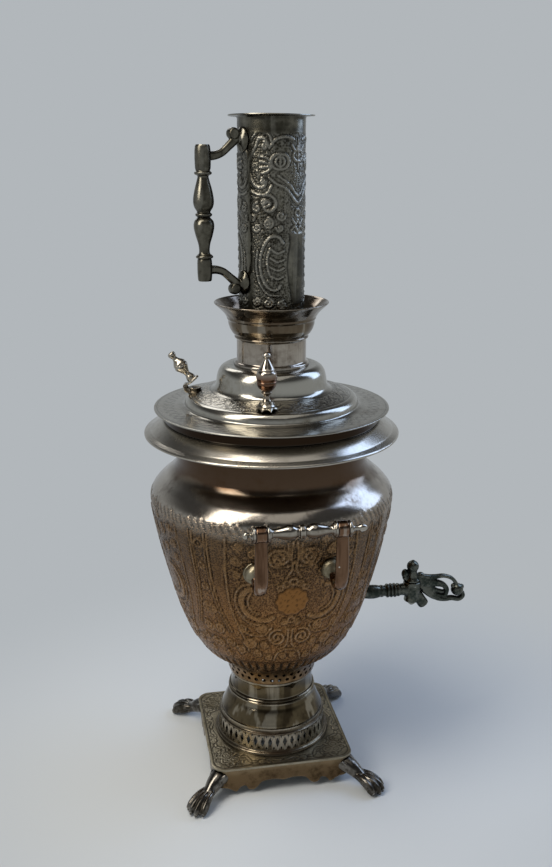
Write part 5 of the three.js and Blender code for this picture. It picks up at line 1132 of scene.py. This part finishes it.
chimney = {
    "low": 451.3, "high": 677.6, "radius": (31.6, 32.1), "flange": 40.7, "columns": 240, "chasedTo": 664,
    "panelRadius": 31.8, "middle": math.radians(-50), "ornament": (452, 662), "raise": 0.45, "groove": 0.4,
    "sunk": 0.2, "grain": 0.09,
}
pipeStrokes = [
    stroke(1.1, (31, 650), (34, 655.5), (40, 656), (42.5, 650), (47, 643), (50.5, 632), (47.5, 620),
           (41, 613), (34.5, 614.5), (33, 619)),
    stroke(0.7, (27, 651), (31, 660), (41, 661.5), (49, 653), (55, 641), (56, 628), (52, 614), (42, 607),
           (32, 608), (28, 615)),
    (curl(35, 649.5, 3.6, 1.0, 90, 1), 0.9), (curl(37, 618.5, 3, 1.0, 90, 1), 0.8),
    # shell in the C
    stroke(0.7, (28, 634), (32, 639), (37, 640)), stroke(0.7, (28, 633), (33, 635), (39, 636)),
    stroke(0.7, (28, 632), (33, 631), (39, 630.5)), stroke(0.7, (28, 631), (32, 627), (37, 625.5)),
    (ringLine(19.8, 636, 7.6, 2, 0.12), 1.0), (ringLine(19.8, 636, 4.2), 0.7),
    stroke(0.7, (19.8, 641), (19.8, 631)), stroke(0.9, (30, 648), (24, 655), (14, 657.5), (6, 655)),
    (ringLine(0, 641, 5.6, 2, 0.15), 1.0), stroke(0.7, (0, 655), (0, 629)),
    stroke(0.8, (8, 650), (4, 646), (0, 651)),
    # curtain, point down
    stroke(0.9, (29.5, 621.5), (23, 616.5), (16, 613.5), (10, 608), (5, 602), (0, 598.5)),
    stroke(0.7, (22, 624), (15, 619), (9, 614), (4, 608), (0, 605)), (ringLine(0, 590, 3.2), 0.8),
    stroke(0.8, (7, 584), (3, 580), (0, 584)), stroke(0.8, (8, 575), (4, 578), (0, 573)),
    (curl(31, 598, 9, 1.4, 60, 1), 1.0), (curl(34, 600, 4.6, 1.2, 200, 1), 0.8),
    (curl(42, 595, 4.5, 1.2, 90, -1), 0.8), (curl(31, 581, 5.2, 1.6, 90, 1), 0.8),
    (curl(42, 577, 4.2, 1.3, 0, -1), 0.7), (curl(19, 588, 4.6, 1.3, 180, 1), 0.7),
    (curl(47, 585, 4, 1.2, 0, 1), 0.7), (curl(20, 577, 3.6, 1.2, 0, -1), 0.7),
    stroke(1.1, (17, 563), (21, 568.5), (28, 569), (34.5, 562), (38.5, 551), (38.8, 539), (35, 527),
           (28.5, 520), (22, 520), (19.5, 524)),
    stroke(0.7, (41.5, 556), (43, 541), (39.5, 526), (31, 515.5), (21, 514)),
    stroke(0.8, (16, 556), (22, 554), (29, 558)), stroke(0.8, (16, 548), (22, 546), (29, 549.5)),
    stroke(0.8, (16, 540), (22, 538), (29, 541)), stroke(0.8, (17, 532), (22, 530), (27, 532.5)),
    stroke(0.7, (29.5, 558), (32, 548), (30.5, 536), (27, 530)), (curl(17, 505, 4.6, 1.4, 90, -1), 1.1),
    stroke(1.2, (13, 498), (8, 497), (0, 497)), (curl(31, 507, 5, 1.5, 90, 1), 0.8),
    (curl(42, 509, 4.4, 1.4, 0, -1), 0.7), (curl(30, 494, 4.6, 1.4, 180, 1), 0.8),
    (curl(45, 494, 4.4, 1.4, 90, 1), 0.7), (curl(12, 484, 5, 1.5, 90, 1), 0.8),
    (curl(27, 480, 5, 1.5, 0, -1), 0.8), (curl(41, 481, 5, 1.5, 90, 1), 0.8),
    (curl(14, 469, 5, 1.5, 90, -1), 0.8), (curl(30, 466, 5, 1.5, 0, 1), 0.8),
]
flickChance = np.random.default_rng(11)
for row in range(21):                                           # fine flicks in the ground
    for column in range(9):
        flickX = 3 + column * 5.4 + flickChance.uniform(-1.5, 1.5)
        flickZ = 458 + row * 9.6 + flickChance.uniform(-3, 3)
        if flickX > 15 or not 492 < flickZ < 572:
            pipeStrokes.append((curl(flickX, flickZ, flickChance.uniform(1.4, 2.1), 0.8,
                                     flickChance.uniform(0, 360), 1), 0.28))


def chimneyShape():
    columns = chimney["columns"]
    angle = np.arange(columns) * fullTurn / columns
    start, end = chimney["low"], chimney["chasedTo"]
    levels = np.concatenate([np.arange(start, end, 0.95), [666, 669, 672, 674, 675.2, 675.9]])
    radius = np.interp(levels, [start, end], chimney["radius"])
    radius[-2:] += (0.5, 1.6)                                   # it flares into the flange
    across, z = np.meshgrid(folded(angle, chimney["middle"], 2, chimney["panelRadius"]), levels)
    relief, line = chase(across, z, pipeStrokes)
    half = np.interp(z, [504, 508, 518, 530, 541, 553, 562, 568, 572],
                     [7.4, 7.2, 8.4, 11.2, 12.6, 11.4, 9.4, 9.6, 10.6])
    within = smooth(z, 503, 505) * (1 - smooth(z, 571, 573))    # the levels of the plain vase
    vase = (1 - smooth(across, half - 1, half + 0.4)) * within
    vaseLine = np.exp(-((across - half) / 0.8) ** 2) * within
    low, high = chimney["ornament"]
    inside = smooth(z, low, low + 3) * (1 - smooth(z, high - 3, high))
    relief, line = relief * (across < 48.5), line * (across < 48.5)
    relief = np.maximum(relief * (1 - vase), vase) * inside
    line = np.maximum(line * (1 - vase), vaseLine) * inside
    line = np.maximum(line, 0.8 * np.exp(-((z - end) / 0.9) ** 2))
    ground = inside * (1 - vase) * (1 - smooth(across, 44, 48))
    chance = np.random.default_rng(5).normal(0, 1, z.shape)
    push = chimney["raise"] * relief - chimney["groove"] * line
    push -= ground * (chimney["sunk"] * (1 - relief) + chimney["grain"] * chance)
    r = radius[:, None] + push * smooth(z, low, low + 3)
    warp = np.minimum(0.35 * np.sin(2 * angle + 0.6) + 0.2 * np.sin(3 * angle), 0.3)
    edge, top = chimney["flange"], chimney["high"]
    rim = np.array([                                            # radius, level, share of the warp
        (36, top - 1.7, 0.4), (edge - 0.5, top - 1.6, 1), (edge, top - 1.0, 1), (edge - 0.3, top - 0.3, 1),
        (37, top - 0.35, 0.5), (33.6, top - 0.3, 0), (31.6, top - 0.6, 0), (30.7, top - 2, 0),
        (30.6, top - 12, 0), (30.4, start, 0)])
    return ornamented(around(r, z, angle), around(rim[:, :1], rim[:, 1:2] + rim[:, 2:] * warp, angle),
                      relief=relief, line=line, ground=ground)


pipeMesh, pipeMarks = chimneyShape()
piece("chimney_dress", pipeMesh, smokedBrass, "chimney", ["chimney_pipe"], pipeMarks, 60)

grip = {
    "angle": 204, "reach": 74.5, "low": 529.8, "length": 121, "radius": 9.5,
    "shares": [(0.62, 0), (0.68, 0.012), (0.7, 0.16), (0.66, 0.168), (0.82, 0.176), (0.84, 0.186),
               (0.7, 0.197), (0.54, 0.21), (0.56, 0.27), (0.84, 0.345), (1, 0.41), (0.9, 0.45),
               (0.62, 0.476), (0.78, 0.487), (0.8, 0.5),
               (0.64, 0.512), (0.9, 0.55), (1, 0.59), (0.86, 0.67), (0.6, 0.745), (0.54, 0.775), (0.8, 0.788),
               (0.84, 0.8), (0.68, 0.812), (0.74, 0.83), (0.72, 0.985), (0.62, 1)],
}
ga = math.radians(grip["angle"])
gripOut, gripSide = np.array([math.cos(ga), math.sin(ga), 0]), np.array([-math.sin(ga), math.cos(ga), 0])
gripEnd = [(3, grip["length"]), (2.6, grip["length"] - 1.2), (0, grip["length"] - 1.4)]
gripLine = np.concatenate([[(0, 0), (2.6, 0), (2.8, 0.8)],
                           scaledCurve(grip["shares"], grip["radius"], grip["length"]), gripEnd])
piece("chimney_grip_dress", turned(gripLine, gripOut * grip["reach"] + (0, 0, grip["low"]), (0, 0, 1), 36),
      smokedBrass, "chimney", ["chimney_grip"], None, 45)


def armShape(sign):
    start = grip["low"] + grip["length"] - 9.8 if sign > 0 else grip["low"] + 9.8
    parts = []
    path = [(71.5, 0, 4.2, 4.4), (63, 0.2, 3.5, 4.0), (55, 2.6, 3.2, 3.7), (47, 8.6, 3.4, 3.9),
            (40, 14.4, 3.6, 4.4), (36.5, 17.4, 3.6, 4.4)]
    stations = [[*(gripOut * reach)[:2], start + sign * rise, wide, tall] for reach, rise, wide, tall in path]
    parts.append(sweep(stations, gripSide, 16, 0.8))
    middle = gripOut * 42.5 + (0, 0, start + sign * 19.4)       # the scroll's curl stands off the pipe
    pin = softened([(0, -4.4), (4.6, -4.4), (5.4, -2.4), (5.4, 2.4), (4.6, 4.4), (0, 4.4)], 0.9)
    parts.append(turned(pin, middle, gripSide, 20))
    boss = [(0, 0), (11.5, 0), (11.2, 1.2), (8.4, 3), (4.6, 4.4), (0, 4.9)]
    p, f = turned(curveThrough(boss, 3), (0, 0, 0), (1, 0, 0), 32)
    p = p * (1, 0.78, 1)
    p[:, 0] -= p[:, 1] ** 2 / 70                                # it hugs the pipe
    parts.append(moved(turnedAbout((p, f), grip["angle"]), gripOut * 32.6 + (0, 0, start + sign * 14)))
    return joined(*parts)


for name, sign in (("upper", 1), ("lower", -1)):
    arm = fused(makeObject(f"chimney_arm_{name}_dress", armShape(sign)), 0.55, 2)
    finishPiece(arm, smokedBrass, "chimney", [f"chimney_arm_{name}"], 60)
print("crown and chimney made")

# Carrying handles

carry = {
    "spread": 38, "reach": 150, "level": 323.5, "boss": 270, "rod": 3, "grip": 7, "barLength": 63.4,
    "finialRadius": 4.6,
    "bar": [(0.86, 0), (0.86, 0.05), (0.62, 0.075), (0.55, 0.1), (0.66, 0.17), (0.9, 0.26), (1, 0.32),
            (0.9, 0.38), (0.62, 0.44), (0.66, 0.455), (0.9, 0.468), (0.92, 0.5)],
    "finial": [(1, 0), (1, 0.06), (0.8, 0.1), (0.5, 0.2), (0.5, 0.42), (0.62, 0.5), (0.78, 0.6),
               (0.74, 0.76), (0.56, 0.9), (0.3, 0.98), (0, 1)],
}
wallAtBoss = math.sqrt(wallRadius(body["outline"][:8], carry["boss"]) ** 2 - carry["spread"] ** 2)


def sideOn(shape, side):
    return shape if side < 0 else (shape[0] * (1, -1, 1), [face[::-1] for face in shape[1]])


def bracketShape(across):
    # drawn for the front, y negative: a hooked tongue rolled over the rod
    wall, bar, low, high = wallAtBoss, carry["reach"], carry["boss"], carry["level"]
    strap = [(wall + 5, low + 1.0, 3.6, 2.0), (wall + 9, low - 2.8, 4.2, 2.6),
             (wall + 15, low - 6.4, 4.7, 3.2), (wall + 22, low - 7.6, 5.1, 3.6),
             (bar - 7, low - 5.0, 5.6, 3.8), (bar - 0.8, low + 5.0, 6.2, 3.7),
             (bar + 1.1, low + 20, 6.3, 3.5), (bar + 1.2, low + 36, 5.8, 3.1),
             (bar + 0.4, high - 2, 5.4, 2.6)]
    parts = [sweep([[across, -y, z, wide, thick] for y, z, wide, thick in strap], (1, 0, 0), 20, 0.9)]
    parts.append(turned(softened([(0, 0), (6.4, 0), (7.4, 1), (7.4, 9.4), (6.4, 10.4), (0, 10.4)], 0.6),
                        (across - 5.2, -bar, high), (1, 0, 0), 36))
    return joined(*parts)


def strapCollars(across):
    collar = softened([(0, 0), (7, 0), (7.7, 0.6), (7.7, 2), (7, 2.6), (0, 2.6)], 0.3)
    parts = [turned(collar, (across + start, -carry["reach"], carry["level"]), (1, 0, 0), 40)
             for start in (-7.7, 5.1)]
    return joined(*parts)


def strapBoss(across):
    dome = [(0, -9), (11, -9), (11.4, -0.5), (11.3, 0.9), (10.5, 1.6), (10.4, 2.6), (9.8, 5), (8, 7.8),
            (5.2, 9.8), (2.4, 10.7), (0, 10.8)]
    return turned(softened(dome, 0.8), np.array([across, -wallAtBoss, carry["boss"] - 0.8]), (0, -1, 0), 40)


barPlate = metalFinish("barPlate", {      # the bar's plate, light on top and brown underneath: painted light from above and painted reflection of brown below
    "levels": [(315, "#4B3828"), (321.5, "#5A4636"), (323.5, "#A79F92"), (331, "#B8B1A6")], "sway": 0.002,
    "metal": "#A8A092", "film": "#6F6252", "dirtAndShadeColour": "#140E09", "bright": "#DAD4C8", "rough": (0.1, 0.22),
    "filmLow": 0.46, "filmHigh": 0.78, "hollow": 4})
for place, sign, side in (("front_left", -1, -1), ("front_right", 1, -1), ("back_left", -1, 1),
                          ("back_right", 1, 1)):
    across = sign * carry["spread"]
    bracket = fused(makeObject(f"handle_strap_{place}", sideOn(bracketShape(across - sign * 1.2), side)),
                    0.55, 1)
    finishPiece(bracket, strapCopper, "urn", [f"handle_bracket_{place}"], 50)
    piece(f"handle_collars_{place}", sideOn(strapCollars(across - sign * 1.2), side), barPlate, "urn")
    piece(f"handle_boss_{place}", sideOn(strapBoss(across - sign * 2.2), side), baseBrass, "urn")
    reach = 15 if sign > 0 else 9               # the near end's button is the longer one
    line = np.concatenate([[(0, 0)], scaledCurve(carry["finial"], carry["finialRadius"], reach)])
    line[:, 0] = np.maximum(line[:, 0], 0)
    at = (across + sign * 6.4, side * carry["reach"], carry["level"])
    piece(f"handle_end_{place}", turned(line, at, (sign, 0, 0), 28), platedBrass,
          "urn", [f"handle_finial_{place}"])
end, rod = carry["barLength"] / 2, carry["rod"]
halfBar = [(r * carry["grip"], h * carry["barLength"] - end) for r, h in carry["bar"]]
fullBar = halfBar + [(r, -x) for r, x in halfBar[::-1][1:]]
barLine = np.concatenate([[(0, -44), (rod, -44), (rod, -end - 0.1), (6, -end)], curveThrough(fullBar, 4),
                          [(6, end), (rod, end + 0.1), (rod, 44), (0, 44)]])
for name, side in (("front", -1), ("back", 1)):
    piece(f"handle_grip_{name}", turned(barLine, (0, side * carry["reach"], carry["level"]), (1, 0, 0), 36),
          barPlate, "urn", [f"handle_bar_{name}"], None, 45)
print("handles made")

# Tap

tap = {
    "level": 184, "barrel": 157,
    "pipe": [(0, 78), (5, 78), (6.4, 79), (6.4, 98), (6.6, 103), (7.3, 107), (7.7, 112), (7.2, 117),
             (6.2, 120.4), (6.8, 121.4), (6.8, 122.6), (6.0, 124), (5.9, 126.6), (7.7, 127.8), (7.7, 129.6),
             (6, 130.8), (7.8, 132), (7.8, 133.6), (6, 134.8), (7.8, 136), (7.8, 137.6), (6, 138.8),
             (7.4, 140), (7.2, 141.6), (6.3, 143), (6.6, 147), (7.8, 151), (0, 157)],
}
tapAxis = np.array([0, 0, tap["level"]])
tapParts = [
    turned(softened(tap["pipe"], 0.5), tapAxis, (1, 0, 0), 36),
    turned(softened([(0, 170), (8.0, 170), (8.6, 171), (8.2, 174), (8.9, 178), (9.6, 184), (9.4, 189),
                     (9.7, 191), (9.5, 193.4), (0, 193.5)], 0.5), (tap["barrel"], 0, 0), (0, 0, 1), 36),
    sweep([[158, 0, 182, 6.6, 6.6], [164, 0, 174.6, 6.4, 6.4], [168.4, 0, 168.6, 6, 6],
           [170, 0, 166.2, 6.2, 6.2], [171.3, 0, 164.4, 5.9, 5.9]], (0, 1, 0), 24),
]
spout = fused(makeObject("tap_body_dress", joined(*tapParts)), 0.5, 2)
finishPiece(spout, castBronze, "urn", ["tap_body"], 60)
wallAtTap = wallRadius(body["outline"][:8], tap["level"])
flangeLine = softened([(6.6, -4), (13, -4), (13, 1.2), (11.8, 2.6), (9.4, 3.6), (8.6, 5.2), (6.6, 5.2)], 0.5,
                      2, True)
flangeLine = np.concatenate([flangeLine, flangeLine[:1]])
piece("tap_rose", turned(flangeLine, (wallAtTap, 0, tap["level"]), (1, 0, 0), 48), castBronze, "urn",
      ["tap_flange"])


def keyShape():
    side, barrel = (0, 1, 0), tap["barrel"]

    def bar(points):
        return sweep([[barrel + x, 0, tap["level"] + z, wide, thick] for x, z, wide, thick in points], side,
                     14, 0.8)

    parts = [
        turned(softened([(0, 193.9), (8.3, 193.9), (8.5, 195.4), (7, 197), (5.8, 199), (5.2, 203), (4.6, 205),
                         (5.4, 206.4), (4.4, 207.6), (0, 208)], 0.4), (barrel, 0, 0), (0, 0, 1), 32),
        ballShape((barrel, 0, 210.6), 6.7, (1, 1, 0.98), 24),
        turned([(0, 0), (2.2, 0), (1.8, 1.4), (0, 1.8)], (barrel, 0, 216.2), (0, 0, 1), 16),
        ballShape((148.4, 0, 202.4), 4.4, (0.9, 1, 1.25), 18),
        ballShape((149.2, 0, 198.2), 3.8, (1, 1, 1), 16),
        ballShape((166, 0, 198.4), 4.5, (1.15, 1, 1), 18),
        bar([(3, 14.6, 3.6, 3.4), (12, 13.6, 3.7, 3.0), (20, 12.4, 3.5, 2.6), (27, 12.2, 3.4, 2.4),
             (36, 12.4, 3.1, 2.2), (45, 9, 3, 2.1), (50, 3.6, 3, 2.1), (52.5, -1.5, 3, 2.1)]),
        bar([(4, 11, 4.2, 6.6), (12, 8.6, 4.6, 6.8), (20, 6.0, 4.6, 5.6), (28, 4.6, 4.2, 4.2),
             (36, 1.6, 3.8, 3.2), (40, -4, 3.6, 2.8), (38.6, -11.6, 3.5, 2.6)]),
        bar([(14, 0, 3.8, 5.4), (19.5, -6, 4.0, 4.6), (25, -10.6, 3.8, 3.8), (31, -13.6, 3.6, 3.2)]),
        bar([(8, 6, 3.6, 5.2), (15, 0.5, 4.0, 4.8), (22, -6, 3.8, 3.6), (29, -13.4, 3.6, 2.8),
             (38, -15.6, 3.5, 2.6), (46, -15.0, 3.5, 2.9), (55, -16.6, 3.4, 2.8), (59.4, -13.6, 3, 2.5),
             (58.6, -8.6, 2.8, 2.3)]),
        bar([(15, 4, 3.6, 3.4), (22, -0.6, 3.4, 2.8), (29, -4.4, 3.2, 2.4), (36, -6.4, 2.8, 2.0)]),
        bar([(20, -3, 3.2, 2.2), (27, -8.6, 3, 2.0), (35, -11, 2.8, 1.8), (41, -12.4, 2.6, 1.8)]),
        ballShape((barrel + 52.5, 0, 178.8), 7, (1, 1, 1), 24),
        ballShape((barrel + 57.5, 0, 181.6), 3, (1, 1, 1), 14),
        ballShape((barrel + 48, 0, 183.2), 3, (1, 1, 1), 14),
        turned([(0, 165.2), (2.2, 165.2), (2.4, 170), (0, 171)], (barrel, 0, 0), (0, 0, 1), 16),
    ]
    return joined(*parts)


key = fused(makeObject("tap_key_dress", keyShape()), 0.5, 2)
finishPiece(key, castBronze, "key", ["tap_key"], 60)
print("tap made")

# CAD nodes that keep their shape take their finish here
finishes = {"aged_copper": strapCopper, "sooty_iron": sootyIron, "polished_plate": platedBrass,
            "chased_plate": agedPlate, "smoked_pipe": smokedBrass, "darkened_bronze": castBronze}
for row in frame["record"]["subparts"]:
    node = frame["nodes"][row["node"]]
    node.data.materials.clear()
    node.data.materials.append(finishes[row["material_slot"]])

# Floor, light and camera

studio = {
    "background": "#B2B7BB", "above": "#4A4B4C", "riseFrom": 0.14, "riseTo": 0.6,
    "floor": "#E0E4E6", "floorRadius": 9, "floorLevel": -0.0004, "fadeFrom": 0.1, "fadeTo": 0.55,
    "lens": 39.45, "shift": 0.00525, "turn": 10.4, "distance": 0.9253, "height": 0.644, "pitch": 16.49,
    "lamps": {      # azimuth, elevation, distance, size, power, colour
        "keyLight": (-52, 50, 1.3, (0.5, 1.5), 14, "#FFFAF1"),
        "coolLight": (112, 34, 1.3, (0.6, 1.0), 6.5, "#BDD6FF"),
        "backLight": (-160, 38, 1.5, (0.7, 0.4), 2.3, "#F6F6F6"),
        "topLight": (-22, 77, 1.3, (1.6, 1.2), 3.6, "#F4F2EE"),
    },
}
floorMesh = bpy.data.meshes.new("floor")
floorSolid = bmesh.new()
bmesh.ops.create_circle(floorSolid, cap_ends=True, segments=96, radius=studio["floorRadius"])
floorSolid.to_mesh(floorMesh)
floorSolid.free()
floor = placed("floor", floorMesh)
floor.location.z = studio["floorLevel"]
paper = bpy.data.materials.new("studioPaper")       # pale matt paper that runs into the background
paper.use_nodes = True
tree = paper.node_tree
tree.nodes.clear()
place = addNode(tree, "ShaderNodeTexCoord").outputs["Object"]
away = addNode(tree, "ShaderNodeVectorMath", {"operation": "LENGTH"}, {0: place}).outputs["Value"]
fade = addNode(tree, "ShaderNodeMapRange", {"interpolation_type": "SMOOTHSTEP"}, {
    0: away, 1: studio["fadeFrom"], 2: studio["fadeTo"]})
matt = addNode(tree, "ShaderNodeBsdfDiffuse", None, {0: hexColour(studio["floor"])})
glow = addNode(tree, "ShaderNodeEmission", None, {0: hexColour(studio["background"]), 1: 1.0})
blend = addNode(tree, "ShaderNodeMixShader", None, {0: fade, 1: matt, 2: glow})
addNode(tree, "ShaderNodeOutputMaterial", None, {0: blend})
floorMesh.materials.append(paper)

world = bpy.data.worlds.new("studio")
bpy.context.scene.world = world
world.use_nodes = True
tree = world.node_tree
tree.nodes.clear()
direction = addNode(tree, "ShaderNodeTexCoord").outputs["Generated"]
rise = addNode(tree, "ShaderNodeSeparateXYZ", None, {0: direction}).outputs[2]
upward = addNode(tree, "ShaderNodeMapRange", {"interpolation_type": "SMOOTHSTEP"}, {
    0: rise, 1: studio["riseFrom"], 2: studio["riseTo"]})
sky = addNode(tree, "ShaderNodeMix", {"data_type": "RGBA"}, {
    0: upward, 6: hexColour(studio["background"]), 7: hexColour(studio["above"])}).outputs[2]
shell = addNode(tree, "ShaderNodeBackground", None, {0: sky, 1: 1.0})
addNode(tree, "ShaderNodeOutputWorld", None, {0: shell})

middle = np.array([axisX / 1000, 0, 0.33])


def softbox(name, azimuth, elevation, distance, size, power, colour):
    # azimuth from the camera's side of the object, to the right
    lamp = bpy.data.lights.new(name, "AREA")
    lamp.shape = "RECTANGLE"
    lamp.size, lamp.size_y = size
    lamp.energy = power
    lamp.color = hexColour(colour)[:3]
    thing = placed(name, lamp)
    a, e = math.radians(azimuth - studio["turn"]), math.radians(elevation)
    out = np.array([math.sin(a) * math.cos(e), -math.cos(a) * math.cos(e), math.sin(e)])
    thing.location = middle + out * distance
    thing.rotation_euler = (math.pi / 2 - e, 0, a)


for name, values in studio["lamps"].items():
    softbox(name, *values)

lens = bpy.data.cameras.new("camera")
camera = placed("camera", lens)
turn, pitch = math.radians(studio["turn"]), math.radians(studio["pitch"])
camera.location = (axisX / 1000 - studio["distance"] * math.sin(turn), -studio["distance"] * math.cos(turn),
                   studio["height"])
camera.rotation_euler = (math.pi / 2 - pitch, 0, -turn)
lens.lens, lens.sensor_width, lens.shift_x = studio["lens"], 36, studio["shift"]
bpy.context.scene.camera = camera
bpy.context.scene.view_settings.view_transform = "Standard"

print("scene made")
